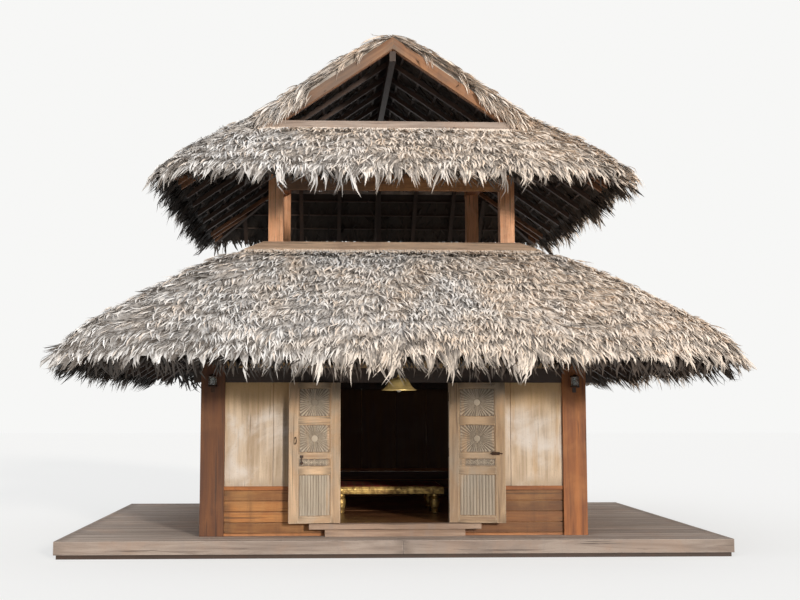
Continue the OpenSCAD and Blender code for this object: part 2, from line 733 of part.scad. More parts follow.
// A round middle with rays that widen outwards, cut off at the panel's edges, lying in XY
module sunburst(w, h) {
  step = 360 / rays;
  function ray_point(i, r) = r * [cos(i * step), sin(i * step)];
  intersection() {
    square([w, h], center = true);
    union() {
      circle(r = burst_r);
      for (i = [0:rays - 1])
        polygon([[0, 0], ray_point(i - ray_share, w + h), ray_point(i + ray_share, w + h)]);
    }
  }
}

// A leaf has sunk panels on both faces; the carving is on the inner one
module carved_leaf(width) {
  panel_w = width - 2 * stile;
  middle = leaf_gap + width / 2;
  difference() {
    box(leaf_gap, leaf_gap + width, hinge_back, back_y, leaf_z, leaf_z + leaf_h);
    for (p = panels, y = [hinge_back, back_y])
      box(middle - panel_w / 2, middle + panel_w / 2, y - panel_in, y + panel_in, p[0], p[0] + p[1]);
  }
  for (p = [panels[2], panels[3]]) translate([middle, back_y - panel_in - rooted, p[0] + p[1] / 2])
    rotate([-90, 0, 0]) linear_extrude(ray_out + rooted)
      sunburst(panel_w - 2 * carving_in, p[1] - 2 * carving_in);
  // Each reed is a slice of a round bar
  pitch = (panel_w - 3 * carving_in) / reeds;
  reed_r = (pitch * pitch / 5 + reed_out * reed_out) / (2 * reed_out);
  intersection() {
    box(0, width, back_y - panel_in - 1, back_y,
        reeded_z + carving_in, reeded_z + reeded_h - carving_in);
    for (i = [0:reeds - 1])
      translate([middle + (i - (reeds - 1) / 2) * pitch, back_y - panel_in + reed_out - reed_r,
                 reeded_z])
        cylinder(h = reeded_h, r = reed_r);
  }
  // Five round bosses along the narrow panel
  boss_r = narrow_h / 4;
  translate([middle, back_y - panel_in - rooted, narrow_z + narrow_h / 2]) for (share = [-1:0.5:1])
    translate([share * (panel_w / 2 - carving_in - boss_r), 0, 0])
      rotate([-90, 0, 0]) cylinder(h = boss_h + rooted, r = boss_r);
}

hinge_rows = [for (share = [0.1, 0.5, 0.9]) leaf_z + leaf_h * share];
knuckle_h = 36;
strap_t = 4;
strap_l = 60;
pin_clear = 0.4;
module hinge_strap() for (z = hinge_rows) difference() {
  union() {
    translate([0, 0, z - knuckle_h / 2]) cylinder(h = knuckle_h, r = knuckle_r);
    box(0, leaf_gap + strap_l, hinge_back - strap_t, hinge_back, z - knuckle_h / 2, z + knuckle_h / 2);
  }
  translate([0, 0, z - knuckle_h]) cylinder(h = 2 * knuckle_h, r = pin_r + pin_clear);
}
module hinge_fixed() for (z = hinge_rows) {
  translate([0, 0, z - 1.5 * knuckle_h - open_joint])
    cylinder(h = 3 * knuckle_h + 2 * open_joint, r = pin_r);
  for (side = [-1, 1]) translate([0, 0, z + side * (knuckle_h + open_joint)]) {
    translate([0, 0, -knuckle_h / 2]) cylinder(h = knuckle_h, r = knuckle_r);
    box(-strap_l, 0, strap_t, hinge_out, -knuckle_h / 2, knuckle_h / 2);
  }
}

module at_left_hinge() translate([-door_w / 2, -hinge_y, 0]) children();
module at_right_hinge() translate([door_w / 2, -hinge_y, 0]) mirror([1, 0, 0]) children();
module open_leaf() rotate([0, 0, -(180 - leaf_lean)]) children();

module door_left() color(pale_wood) at_left_hinge() open_leaf() carved_leaf(left_w);
module door_right() color(pale_wood) at_right_hinge() open_leaf() carved_leaf(right_w);
module door_left_hinges() color("dimgray") at_left_hinge() open_leaf() hinge_strap();
module door_right_hinges() color("dimgray") at_right_hinge() open_leaf() hinge_strap();

// Pull and hasp on the left leaf and bolt on the right one, all on the inner faces
iron_t = 4;
pull_z = leaf_z + pull_up;
pull_r = 40;
pull_out = 26;
pull_bar_r = 6;
module pull() {
  for (z = [-pull_r, pull_r]) translate([0, 0, z]) rotate([-90, 0, 0])
    cylinder(h = pull_out, r = pull_bar_r);
  translate([0, pull_out, 0]) rotate([0, -90, 0]) rotate_extrude(angle = 180)
    translate([pull_r, 0]) circle(r = pull_bar_r, $fn = 24);
}
module hasp() {
  box(-22, 22, 0, iron_t, -16, 16);
  box(-7, 7, iron_t, 9, -90, 10);
  translate([0, iron_t, -80]) rotate([-90, 0, 0]) cylinder(h = 5, r = 20);
}
module bolt() {
  box(-60, 40, 0, iron_t, -20, 20);
  translate([-75, 12, 0]) rotate([0, 90, 0]) cylinder(h = 150, r = 7);
  for (x = [-45, 25]) box(x - 7, x + 7, iron_t - 1, 12, -13, 13);
  translate([-10, 12, 0]) rotate([-90, 0, 0]) cylinder(h = 24, r = 5);
}
module door_left_fittings() color("dimgray") at_left_hinge() open_leaf() {
  translate([leaf_gap + left_w - stile * 0.68, back_y, pull_z]) pull();
  translate([leaf_gap + left_w - stile * 1.34, back_y, narrow_z + narrow_h + 20]) hasp();
}
module door_right_fittings() color("dimgray") at_right_hinge() open_leaf()
  translate([leaf_gap + right_w - stile * 0.93, back_y, narrow_z + narrow_h + 55]) bolt();
module hinge_pins() color("dimgray") {
  at_left_hinge() hinge_fixed();
  at_right_hinge() hinge_fixed();
}

// Bell lamp on a rod from a hook board on the front rafters
lamp_y = half_d + lamp_out;
rod_top = lower_under(lamp_y, top_y, eave_y);
rod_r = 8;
neck_r = 16;
collar_r = 22;
collar_h = 30;
neck_bite = 8;
// The bell bulges a little less than a ball
function bell_point(a, r, h) = [r * cos(a) * (1 - 0.12 * sin(2 * a)), h * sin(a)];
module bell_lamp() color(brass_colour) translate([0, -lamp_y, 0]) {
  translate([0, 0, lamp_z]) rotate_extrude($fn = 64) polygon(concat(
    [for (a = [0:10:80]) bell_point(a, lamp_d / 2, bell_h)],
    [[neck_r, bell_h], [neck_r, bell_h - bell_t]],
    [for (a = [80:-10:0]) bell_point(a, lamp_d / 2 - bell_t, bell_h - bell_t)]
  ));
  translate([0, 0, lamp_z + bell_h - neck_bite]) {
    cylinder(h = collar_h, r = collar_r);
    cylinder(h = rod_top - (lamp_z + bell_h - neck_bite) - rafter_h / 2, r = rod_r);
  }
  // A block under the middle rafter carries the rod
  difference() {
    translate([0, 0, rod_top - rafter_h / 4]) cube([rafter_w, rafter_w, rafter_h], center = true);
    translate([0, lamp_y, 0]) run_end(lower_rafter_section(rim_y, top_y, eave_y));
  }
}
module lamp_bulb() color("ivory") translate([0, -lamp_y, lamp_z + neck_bite]) {
  sphere(r = bulb_r);
  cylinder(h = bell_h - 2 * neck_bite, r = 12);
}

// Jar lanterns on arms in front of the corner posts
lantern_r = lantern_w / 2;
base_h = 26;
back_plate_t = 5;
arm_half = 16;
cage_r = 3;
module at_lanterns() both_sides()
  translate([half_w - post / 2, -half_d - back_plate_t - lantern_r, lantern_z]) children();
module lantern_frames() color([0.2, 0.18, 0.16]) at_lanterns() {
  cylinder(h = base_h, r = lantern_r);
  translate([0, 0, lantern_h]) rotate_extrude()
    polygon([[0, 0], [lantern_r, 0], [lantern_r, 8], [18, 34], [0, 34]]);
  for (a = [45:90:315]) rotate([0, 0, a]) translate([lantern_r - cage_r - 1, 0, base_h / 2])
    cylinder(h = lantern_h - base_h / 2 + 1, r = cage_r);
  box(-arm_half, arm_half, 0, lantern_r + back_plate_t, 0, base_h - 4);
  box(-1.5 * arm_half, 1.5 * arm_half, lantern_r, lantern_r + back_plate_t, -60, lantern_h);
}
module lantern_glass() color("gainsboro") at_lanterns() translate([0, 0, base_h]) difference() {
  cylinder(h = lantern_h - base_h, r = lantern_r - 8);
  translate([0, 0, 4]) cylinder(h = lantern_h, r = lantern_r - 12);
}

// Low daybed that shows through the doorway: stout turned legs, a deep rail all round, boards
// and a thin mattress
mattress_h = 20;
bed_rail_h = 95;
bed_rail_t = 45;
bed_board_t = 25;
bed_leg_in = [115, 80];
bed_under = bed_h - mattress_h - bed_rail_h;
module bed_leg() rotate_extrude($fn = 32) polygon([
  [0, 0], [50, 0], [54, 22], [42, 40], [60, 75], [68, 130], [66, 180], [46, 205], [58, 222],
  [58, bed_under + bed_rail_h / 2], [0, bed_under + bed_rail_h / 2]
]);
module daybed() color(hardwood) translate([0, -half_d + bed_back, floor_z]) {
  difference() {
    box(-bed_w / 2, bed_w / 2, 0, bed_d, bed_under, bed_h - mattress_h);
    box(-bed_w / 2 + bed_rail_t, bed_w / 2 - bed_rail_t, bed_rail_t, bed_d - bed_rail_t,
        0, bed_h - mattress_h - bed_board_t);
  }
  for (x = [-1, 1] * (bed_w / 2 - bed_leg_in[0]), y = [bed_leg_in[1], bed_d - bed_leg_in[1]])
    translate([x, y, 0]) bed_leg();
}
module daybed_mattress() color("goldenrod") translate([0, -half_d + bed_back, floor_z])
  box(-bed_w / 2 + 15, bed_w / 2 - 15, 15, bed_d - 15, bed_h - mattress_h, bed_h);

ground_sleepers();
deck_joists();
deck_boards();
deck_fascia();
floor_joists();
room_floor();
threshold();
door_step();
corner_posts();
wall_sills();
lower_boards();
wall_rails();
front_panels();
over_door_panel();
wall_panels();
tie_beams();
door_jambs();
side_plates();
end_plates();
main_posts();
loft_strut();
loft_rim();
loft_sill();
lower_rafters();
lower_hips();
lower_thatch_front();
lower_thatch_rear();
lower_thatch_left();
lower_thatch_right();
upper_side_plates();
upper_end_plates();
ridge_beam();
upper_rafters();
skirt_rafters();
upper_hips();
upper_thatch_front();
upper_thatch_rear();
upper_thatch_left();
upper_thatch_right();
ridge_cap();
gable_planks();
door_left();
door_right();
door_left_fittings();
door_right_fittings();
door_left_hinges();
door_right_hinges();
hinge_pins();
bell_lamp();
lamp_bulb();
lantern_frames();
lantern_glass();
daybed();
daybed_mattress();
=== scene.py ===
import math

import bpy
import numpy as np
from mathutils import Matrix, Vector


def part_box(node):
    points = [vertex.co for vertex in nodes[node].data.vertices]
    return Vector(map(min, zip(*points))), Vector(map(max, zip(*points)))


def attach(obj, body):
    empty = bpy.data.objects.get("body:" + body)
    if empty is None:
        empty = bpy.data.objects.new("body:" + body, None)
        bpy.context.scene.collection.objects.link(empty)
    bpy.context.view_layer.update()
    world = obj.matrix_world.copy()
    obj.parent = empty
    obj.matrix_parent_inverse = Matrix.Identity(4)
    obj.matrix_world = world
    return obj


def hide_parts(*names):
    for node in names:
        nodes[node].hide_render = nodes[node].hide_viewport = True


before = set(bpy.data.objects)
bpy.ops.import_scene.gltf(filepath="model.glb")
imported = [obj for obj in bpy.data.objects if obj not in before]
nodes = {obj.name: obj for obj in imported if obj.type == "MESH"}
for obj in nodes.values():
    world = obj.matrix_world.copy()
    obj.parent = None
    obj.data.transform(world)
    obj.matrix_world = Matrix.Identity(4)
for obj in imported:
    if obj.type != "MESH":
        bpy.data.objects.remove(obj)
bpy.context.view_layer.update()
scene = bpy.context.scene
scene.view_settings.view_transform = "Standard"
print("frame loaded,", len(nodes), "nodes")

# Camera at the photograph's place: distance, eye height and turn were solved from the posts
cameraLook = {"lens": 54.0, "place": (-0.91, -17.4, 1.74), "turn": -2.3, "tilt": 5.3, "shift": 0.0375}
cameraTilt = math.radians(90 + cameraLook["tilt"])
cameraTurn = math.radians(cameraLook["turn"])
bpy.ops.object.camera_add(location=cameraLook["place"], rotation=(cameraTilt, 0, cameraTurn))
camera = bpy.context.object
camera.data.lens = cameraLook["lens"]
camera.data.sensor_width = 36
camera.data.shift_x = cameraLook["shift"]
camera.data.clip_end = 400
scene.camera = camera

# Soft studio light: a warm key that comes in low under the eaves, and a cooler fill from above
lampLooks = (
    {"energy": 2.3, "angle": 7, "tilt": 78, "turn": 24, "colour": (1.0, 0.93, 0.84)},
    {"energy": 0.9, "angle": 40, "tilt": 44, "turn": -36, "colour": (0.9, 0.95, 1.0)},
)
for look in lampLooks:
    lampTilt, lampTurn = math.radians(look["tilt"]), math.radians(look["turn"])
    bpy.ops.object.light_add(type="SUN", rotation=(lampTilt, 0, lampTurn))
    lamp = bpy.context.object.data
    lamp.energy = look["energy"]
    lamp.angle = math.radians(look["angle"])
    lamp.color = look["colour"]


# Selection, primitives and copies


def clearSelection():
    if bpy.context.object and bpy.context.object.mode != "OBJECT":
        bpy.ops.object.mode_set(mode="OBJECT")
    for thing in bpy.context.selected_objects:
        thing.select_set(False)


def selectOnly(*things):
    clearSelection()
    for thing in things:
        thing.select_set(True)
    bpy.context.view_layer.objects.active = things[0]


def enterEdit(thing):
    selectOnly(thing)
    bpy.ops.object.mode_set(mode="EDIT")
    bpy.ops.mesh.select_all(action="SELECT")


def leaveEdit():
    bpy.ops.object.mode_set(mode="OBJECT")


def turnOutwards():
    bpy.ops.mesh.select_all(action="SELECT")
    bpy.ops.mesh.normals_make_consistent(inside=False)


def newGrid(x, y):
    # a square of 2 m in x by y faces
    clearSelection()
    bpy.ops.mesh.primitive_grid_add(x_subdivisions=x, y_subdivisions=y, size=2)
    return bpy.context.object


def newSlab(x, y):
    # the same, drawn up by 1 m
    slab = newGrid(x, y)
    enterEdit(slab)
    bpy.ops.mesh.extrude_region_move(TRANSFORM_OT_translate={"value": (0, 0, 1)})
    turnOutwards()
    leaveEdit()
    return slab


def pointsOf(thing):
    return np.array([v.co[:] for v in thing.data.vertices])


def setPoints(thing, points):
    thing.data.vertices.foreach_set("co", points.ravel())
    thing.data.update()


def takeShape(thing):
    # reads a modelled shape into arrays and removes its object, so that copies can be laid
    points = pointsOf(thing)
    faces = [tuple(face.vertices) for face in thing.data.polygons]
    bpy.data.objects.remove(thing)
    return points, faces


def layCopies(name, faces, points, marks, smooth=False):
    # one mesh from many placed copies of a shape: points is copies x vertices x 3
    copies, each = points.shape[:2]
    loops = np.array([v for face in faces for v in face])
    sizes = np.array([len(face) for face in faces])
    starts = np.concatenate([[0], np.cumsum(sizes)[:-1]])
    mesh = bpy.data.meshes.new(name)
    mesh.vertices.add(copies * each)
    mesh.vertices.foreach_set("co", points.astype(np.float32).ravel())
    mesh.loops.add(copies * len(loops))
    mesh.polygons.add(copies * len(faces))
    offsets = np.arange(copies)[:, None]
    mesh.polygons.foreach_set("loop_start", (starts + offsets * len(loops)).ravel().astype(np.int32))
    mesh.polygons.foreach_set("vertices", (loops + offsets * each).ravel().astype(np.int32))
    mesh.update(calc_edges=True)
    for mark, values in marks.items():
        markPoints(mesh, mark, values, values.ndim == 3)
    if smooth:
        mesh.shade_smooth()
    else:
        mesh.shade_flat()
    thing = bpy.data.objects.new(name, mesh)
    scene.collection.objects.link(thing)
    return thing


def markPoints(mesh, mark, values, vector=False):
    # a mark is one number or one vector for each point, or one for all of them
    layer = mesh.attributes.new(mark, "FLOAT_VECTOR" if vector else "FLOAT", "POINT")
    shape = (len(mesh.vertices), 3) if vector else (len(mesh.vertices),)
    every = np.broadcast_to(np.reshape(values, (-1, 3) if vector else -1), shape)
    layer.data.foreach_set("vector" if vector else "value", every.astype(np.float32).ravel())


def joinPieces(name, pieces):
    selectOnly(*pieces)
    bpy.ops.object.join()
    pieces[0].name = name
    return pieces[0]


def smoothByAngle(thing, degrees):
    selectOnly(thing)
    bpy.ops.object.shade_smooth_by_angle(angle=math.radians(degrees))


def finishPiece(thing, material=None, body="house", replaced=()):
    # without a material the piece keeps those it was joined with
    if material:
        thing.data.materials.clear()
        thing.data.materials.append(material)
    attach(thing, body)
    if replaced:
        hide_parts(*replaced)


def movePoints(thing, matrix):
    thing.data.transform(matrix)
    if matrix.determinant() < 0:
        thing.data.flip_normals()
    thing.data.update()
    return thing


def span(side, a, b):
    # the two values on one side of the middle, -1 or 1, the lower first
    return sorted((side * a, side * b))


# Boards: one bevelled block is modelled, and each board is a copy stretched between its bevels

clearSelection()
bpy.ops.mesh.primitive_cube_add(size=1)
enterEdit(bpy.context.object)
bpy.ops.mesh.bevel(offset=0.1, segments=2, affect="EDGES")
leaveEdit()
blockPoints, blockFaces = takeShape(bpy.context.object)


def layBoards(name, boards, bevel=0.004, along="x", wander=0.0006, seed=1):
    # boards holds pairs of corners, (x0, y0, z0, x1, y1, z1)
    random = np.random.default_rng(seed)
    corners = np.array(boards, float)
    middle = (corners[:, :3] + corners[:, 3:]) / 2
    half = np.abs(corners[:, 3:] - corners[:, :3]) / 2
    inset = (0.5 - np.abs(blockPoints)) / 0.1 * bevel
    local = np.sign(blockPoints) * (half[:, None] - inset)
    shift = random.normal(0, wander, (len(boards), 1, 3))
    order = {"x": [0, 1, 2], "y": [1, 0, 2], "z": [2, 0, 1]}[along]
    each = len(blockPoints)
    return layCopies(name, blockFaces, local + middle[:, None] + shift, {
        "boardPlace": local[:, :, order],
        "boardHalf": np.repeat(half[:, None, order], each, 1),
        "boardTone": np.repeat(random.random(len(boards))[:, None], each, 1),
    })


def finishBoards(name, boards, wood, replaced=(), slot=None, **how):
    finishPiece(layBoards(name, boards, **how), wood, replaced=replaced)


# Shader helpers


class ShaderTree:
    # A node tree with short ways to add nodes; each input is a value or another node's output

    def __init__(self, tree):
        self.tree = tree

    def fill(self, sockets, values):
        for name, value in values.items():
            if isinstance(value, bpy.types.NodeSocket):
                self.tree.links.new(value, sockets[name])
            elif sockets[name].type == "RGBA":
                sockets[name].default_value = (*value, 1)
            else:
                sockets[name].default_value = value

    def put(self, kind, inputs=None, **settings):
        node = self.tree.nodes.new("ShaderNode" + kind)
        for name, value in settings.items():
            setattr(node, name, value)
        self.fill(node.inputs, inputs or {})
        return node

    def calc(self, operation, *values, clamp=False):
        return self.put("Math", dict(enumerate(values)), operation=operation, use_clamp=clamp).outputs[0]

    def times(self, first, second):
        return self.calc("MULTIPLY", first, second)

    def without(self, value):
        return self.calc("SUBTRACT", 1.0, value)

    def vectorCalc(self, operation, *values):
        return self.put("VectorMath", dict(enumerate(values)), operation=operation).outputs[0]

    def mix(self, share, first, second, blend="MIX"):
        given = {0: share, 6: first, 7: second}
        return self.put("Mix", given, data_type="RGBA", blend_type=blend).outputs[2]

    def cover(self, colour, over, share, mask):
        # lays a second colour over the first where the mask is 1, as strongly as share says
        return self.mix(self.times(mask, share), colour, over)

    def spread(self, value, low, high):
        # maps low..high onto 0..1 with soft ends
        given = {0: value, 1: low, 2: high, 3: 0.0, 4: 1.0}
        return self.put("MapRange", given, interpolation_type="SMOOTHSTEP").outputs[0]

    def noise(self, vector, scale, detail=2.0, rough=0.5, distortion=0.0):
        # a scale of three numbers stretches the pattern
        if isinstance(scale, tuple):
            vector, scale = self.vectorCalc("MULTIPLY", vector, scale), 1.0
        return self.put("TexNoise", {"Vector": vector, "Scale": scale, "Detail": detail,
                                     "Roughness": rough, "Distortion": distortion}).outputs["Fac"]

    def split(self, vector):
        return self.put("SeparateXYZ", {0: vector}).outputs

    def gather(self, x, y, z):
        return self.put("CombineXYZ", {0: x, 1: y, 2: z}).outputs[0]

    def place(self):
        return self.put("TexCoord").outputs["Object"]

    def mark(self, name, kind="Fac"):
        return self.put("Attribute", attribute_name=name).outputs[kind]

    def use(self, group, inputs):
        return self.put("Group", inputs, node_tree=group.tree).outputs

    def seen(self):
        # 1 for what the camera sees, also in metal and through glass
        rays = self.put("LightPath").outputs
        straight = self.calc("MAXIMUM", rays["Is Camera Ray"], rays["Is Glossy Ray"])
        return self.calc("MAXIMUM", straight, rays["Is Transmission Ray"])

    def paint(self, shader, colour, rough, height, strength, distance):
        bump = self.put("Bump", {"Strength": strength, "Distance": distance, "Height": height})
        self.fill(shader.inputs, {"Base Color": colour, "Roughness": rough, "Normal": bump.outputs[0]})


def startGroup(name, vectors, numbers, results):
    group = bpy.data.node_groups.new(name, "ShaderNodeTree")
    sockets = (("Vector", "INPUT", vectors), ("Float", "INPUT", numbers), ("Float", "OUTPUT", results))
    for kind, way, labels in sockets:
        for label in labels:
            group.interface.new_socket(name=label, in_out=way, socket_type="NodeSocket" + kind)
    given, made = group.nodes.new("NodeGroupInput").outputs, group.nodes.new("NodeGroupOutput").inputs
    return ShaderTree(group), given, made


def startMaterial(name):
    material = bpy.data.materials.new(name)
    material.use_nodes = True
    return material, ShaderTree(material.node_tree), material.node_tree.nodes["Principled BSDF"]


# Wood grain; the vector's first part runs along the grain
grainGroup, given, made = startGroup("woodGrain", ["Along"], ["Shift"], ["Bands", "Fibres", "Cracks"])
shift = grainGroup.gather(*[grainGroup.times(given["Shift"], far) for far in (13.7, 5.3, 7.9)])
moved = grainGroup.vectorCalc("ADD", given["Along"], shift)
grainGroup.fill(made, {
    "Bands": grainGroup.noise(moved, (0.8, 11, 11), 4, 0.6, 0.8),
    "Fibres": grainGroup.noise(moved, (5, 170, 170), 2, 0.6),
    "Cracks": grainGroup.spread(grainGroup.noise(moved, (0.9, 38, 38), 3, 0.55, 0.4), 0.61, 0.68),
})

# Weather: broad patches, streaks that run down and fine dirt
weatherGroup, given, made = startGroup("weather", ["Place"], [], ["Patches", "Runs", "Specks"])
weatherGroup.fill(made, {
    "Patches": weatherGroup.noise(given["Place"], 1.7, 4, 0.6, 0.5),
    "Runs": weatherGroup.noise(given["Place"], (9, 9, 0.8), 4, 0.6),
    "Specks": weatherGroup.noise(given["Place"], 70, 3, 0.6),
})

# Edges of a board, from its own place and half size; Ends is 1 at the two ends
edgeGroup, given, made = startGroup("boardEdges", ["Place", "Half"], [], ["Edges", "Ends"])
offMiddle = edgeGroup.vectorCalc("ABSOLUTE", given["Place"])
depth = edgeGroup.split(edgeGroup.vectorCalc("SUBTRACT", given["Half"], offMiddle))
highTwo = edgeGroup.calc("MAXIMUM", depth[0], depth[1])
lowTwo = edgeGroup.calc("MINIMUM", depth[0], depth[1])
second = edgeGroup.calc("MAXIMUM", lowTwo, edgeGroup.calc("MINIMUM", highTwo, depth[2]))
edgeGroup.fill(made, {
    "Edges": edgeGroup.without(edgeGroup.spread(second, 0.0, 0.014)),
    "Ends": edgeGroup.without(edgeGroup.spread(depth[0], 0.0, 0.16)),
})


def grainVector(tree, rule):
    # rule is x, y or z; or "split" with ax, cx, ay and cy, which runs along X where
    # (|y| - cy) / ay > (|x| - cx) / ax and along Y elsewhere; or "fall", the other way round
    place = tree.place()
    x, y, z = tree.split(place)
    if rule == "x":
        return place
    if rule == "y":
        return tree.gather(y, x, z)
    if rule == "z":
        return tree.gather(z, x, y)
    word, ax, cx, ay, cy = rule
    outX, outY = (
        tree.calc("DIVIDE", tree.calc("SUBTRACT", tree.calc("ABSOLUTE", axis), corner), fall)
        for axis, corner, fall in ((x, cx, ax), (y, cy, ay))
    )
    useX = tree.calc("GREATER_THAN", outY, outX)
    if word == "fall":
        useX = tree.without(useX)
    return tree.put("Mix", {0: useX, 4: tree.gather(y, x, z), 5: place}, data_type="VECTOR").outputs[1]


def woodMaterial(name, look, rule=None):
    # without a rule the boards' own marks say where the grain runs
    material, tree, shader = startMaterial(name)
    place = tree.place()
    x, y, z = tree.split(place)
    along = grainVector(tree, rule) if rule else tree.mark("boardPlace", "Vector")
    tone = 0.35 if rule else tree.mark("boardTone")
    grain = tree.use(grainGroup, {"Along": along, "Shift": tone})
    weather = tree.use(weatherGroup, {"Place": place})
    bands = tree.spread(grain["Bands"], 0.32, 0.68)
    colour = tree.mix(bands, look["dark"], look["light"])
    colour = tree.cover(colour, look["fibre"], 0.5, tree.spread(grain["Fibres"], 0.35, 0.7))
    if not rule:
        bright = tree.calc("MULTIPLY_ADD", tone, look["spread"], 1.0 - look["spread"] / 2)
        colour = tree.mix(1.0, colour, tree.gather(bright, bright, bright), "MULTIPLY")
    patches = tree.spread(weather["Patches"], 0.45, 0.7)
    colour = tree.cover(colour, look["patch"], look["patchShare"], patches)
    colour = tree.cover(colour, look["run"], look["runShare"], tree.spread(weather["Runs"], 0.5, 0.75))
    cracks = tree.times(grain["Cracks"], look["cracks"])
    colour = tree.mix(cracks, colour, look["deep"])
    if not rule:
        edges = tree.use(edgeGroup, {"Place": along, "Half": tree.mark("boardHalf", "Vector")})
        rubbed = tree.times(edges["Edges"], tree.spread(weather["Specks"], 0.3, 0.6))
        colour = tree.cover(colour, look["worn"], look["wear"], rubbed)
        dried = tree.times(edges["Ends"], tree.spread(grain["Bands"], 0.4, 0.6))
        colour = tree.cover(colour, look["deep"], look["endShare"], dried)
    if "paintedShadeSide" in look:
        # painted shade: one side of the front, -1 or 1 along X, is darkened as if that side lay in shade
        side, share = look["paintedShadeSide"]
        colour = tree.cover(colour, look["deep"], share, tree.spread(tree.times(x, side), 0.0, 0.6))
    if "paintedSunTop" in look:
        # painted sunlight: a warm glow laid on the wood from 1.65 to 2.05 m up, just under the eaves
        colour = tree.cover(colour, look["paintedSunTop"], 0.7, tree.spread(z, 1.65, 2.05))
    if "inner" in look:
        # painted shade: faces inside the walls, or inside innerBox where a look gives one, are darkened as
        # if in shade
        walls = look.get("innerBox", (2.3125, 2.3075))
        inside = [tree.calc("LESS_THAN", tree.calc("ABSOLUTE", axis), wall)
                  for axis, wall in zip((x, y), walls)]
        insideShade = tree.mix(bands, look["deep"], look["inner"])
        colour = tree.cover(colour, insideShade, 0.92, tree.times(*inside))
    colour = tree.cover(colour, look["deep"], 0.25, tree.spread(weather["Specks"], 0.58, 0.7))
    height = tree.calc("MULTIPLY_ADD", grain["Fibres"], 0.35, tree.times(grain["Bands"], 0.6))
    height = tree.calc("SUBTRACT", height, cracks)
    rough = tree.calc("MULTIPLY_ADD", grain["Fibres"], 0.2, look["rough"] - 0.1)
    tree.paint(shader, colour, rough, height, look["bump"], 0.004)
    return material


hardwoodLook = {
    "dark": (0.19, 0.055, 0.014), "light": (0.44, 0.15, 0.035), "fibre": (0.30, 0.10, 0.027),
    "patch": (0.50, 0.20, 0.06), "patchShare": 0.5, "run": (0.09, 0.03, 0.012), "runShare": 0.4,
    "deep": (0.03, 0.015, 0.01), "cracks": 0.55, "worn": (0.46, 0.24, 0.11), "wear": 0.6,
    "endShare": 0.6, "rough": 0.6, "bump": 0.35, "spread": 0.5,
}
battenLook = dict(
    hardwoodLook, light=(0.06, 0.032, 0.02), dark=(0.035, 0.018, 0.01), patch=(0.07, 0.04, 0.025),
    fibre=(0.045, 0.024, 0.014), worn=(0.10, 0.06, 0.04))
deckLook = {
    "dark": (0.25, 0.19, 0.155), "light": (0.47, 0.38, 0.32), "fibre": (0.36, 0.285, 0.24),
    "patch": (0.40, 0.27, 0.20), "patchShare": 0.6, "run": (0.30, 0.26, 0.24), "runShare": 0.3,
    "deep": (0.07, 0.05, 0.04), "cracks": 0.75, "worn": (0.56, 0.48, 0.42), "wear": 0.6,
    "endShare": 0.55, "rough": 0.8, "bump": 0.5, "spread": 0.45,
}
paleLook = {
    "dark": (0.44, 0.32, 0.215), "light": (0.78, 0.63, 0.475), "fibre": (0.60, 0.46, 0.33),
    "patch": (0.86, 0.79, 0.73), "patchShare": 0.85, "run": (0.60, 0.38, 0.19), "runShare": 0.65,
    "deep": (0.16, 0.09, 0.045), "cracks": 0.5, "worn": (0.8, 0.7, 0.58), "wear": 0.4,
    "endShare": 0.4, "rough": 0.75, "bump": 0.35, "spread": 0.3,
}
leafLook = {
    "dark": (0.42, 0.27, 0.165), "light": (0.80, 0.56, 0.35), "fibre": (0.58, 0.40, 0.26),
    "patch": (0.46, 0.41, 0.34), "patchShare": 0.55, "run": (0.80, 0.50, 0.27), "runShare": 0.65,
    "deep": (0.11, 0.075, 0.05), "cracks": 0.6, "worn": (0.84, 0.66, 0.47), "wear": 0.7,
    # painted shade: the right door leaf is a little darker
    "endShare": 0.6, "rough": 0.78, "bump": 0.45, "spread": 0.35, "paintedShadeSide": (1, 0.2),
}
# painted shade on the left side, in grey, for the loft beam and the barge boards
leftPaintedShade = {"deep": (0.09, 0.08, 0.07), "paintedShadeSide": (-1, 0.6)}
woods = {name: woodMaterial(name, look) for name, look in {
    "deckWood": deckLook,
    # painted shade: the dado is darker on its right side and on its faces towards the room
    "dadoWood": dict(
        hardwoodLook, light=(0.44, 0.19, 0.052), dark=(0.24, 0.092, 0.026), patch=(0.50, 0.26, 0.09),
        spread=0.7, paintedShadeSide=(1, 0.28), inner=(0.11, 0.05, 0.03)),
    # painted light: a sunlit orange copy of the hardwood for the loft beam, with painted shade on its left
    # side
    "loftBeamWood": dict(
        hardwoodLook, light=(0.90, 0.46, 0.20), dark=(0.52, 0.25, 0.11), patchShare=0.3, **leftPaintedShade),
    "bargeWood": dict(hardwoodLook, light=(0.46, 0.25, 0.13), dark=(0.24, 0.12, 0.06), **leftPaintedShade),
    # painted light: a sunlit glow on the plank tops, and painted shade on their faces towards the room
    "palePlanks": dict(paleLook, paintedSunTop=(0.95, 0.60, 0.27), inner=(0.10, 0.055, 0.035)),
    "floorWood": dict(hardwoodLook, spread=0.35, rough=0.32, bump=0.15, dark=(0.06, 0.022, 0.012),
                      light=(0.15, 0.06, 0.03), patchShare=0.2),
    "battenWood": battenLook,
    "leafWood": leafLook,
    "sunkLeafWood": dict(
        leafLook, dark=(0.17, 0.135, 0.105), light=(0.36, 0.29, 0.225), fibre=(0.26, 0.21, 0.165)),
    "carvedLeafWood": dict(
        leafLook, dark=(0.40, 0.33, 0.25), light=(0.66, 0.56, 0.44), fibre=(0.54, 0.45, 0.35)),
}.items()}

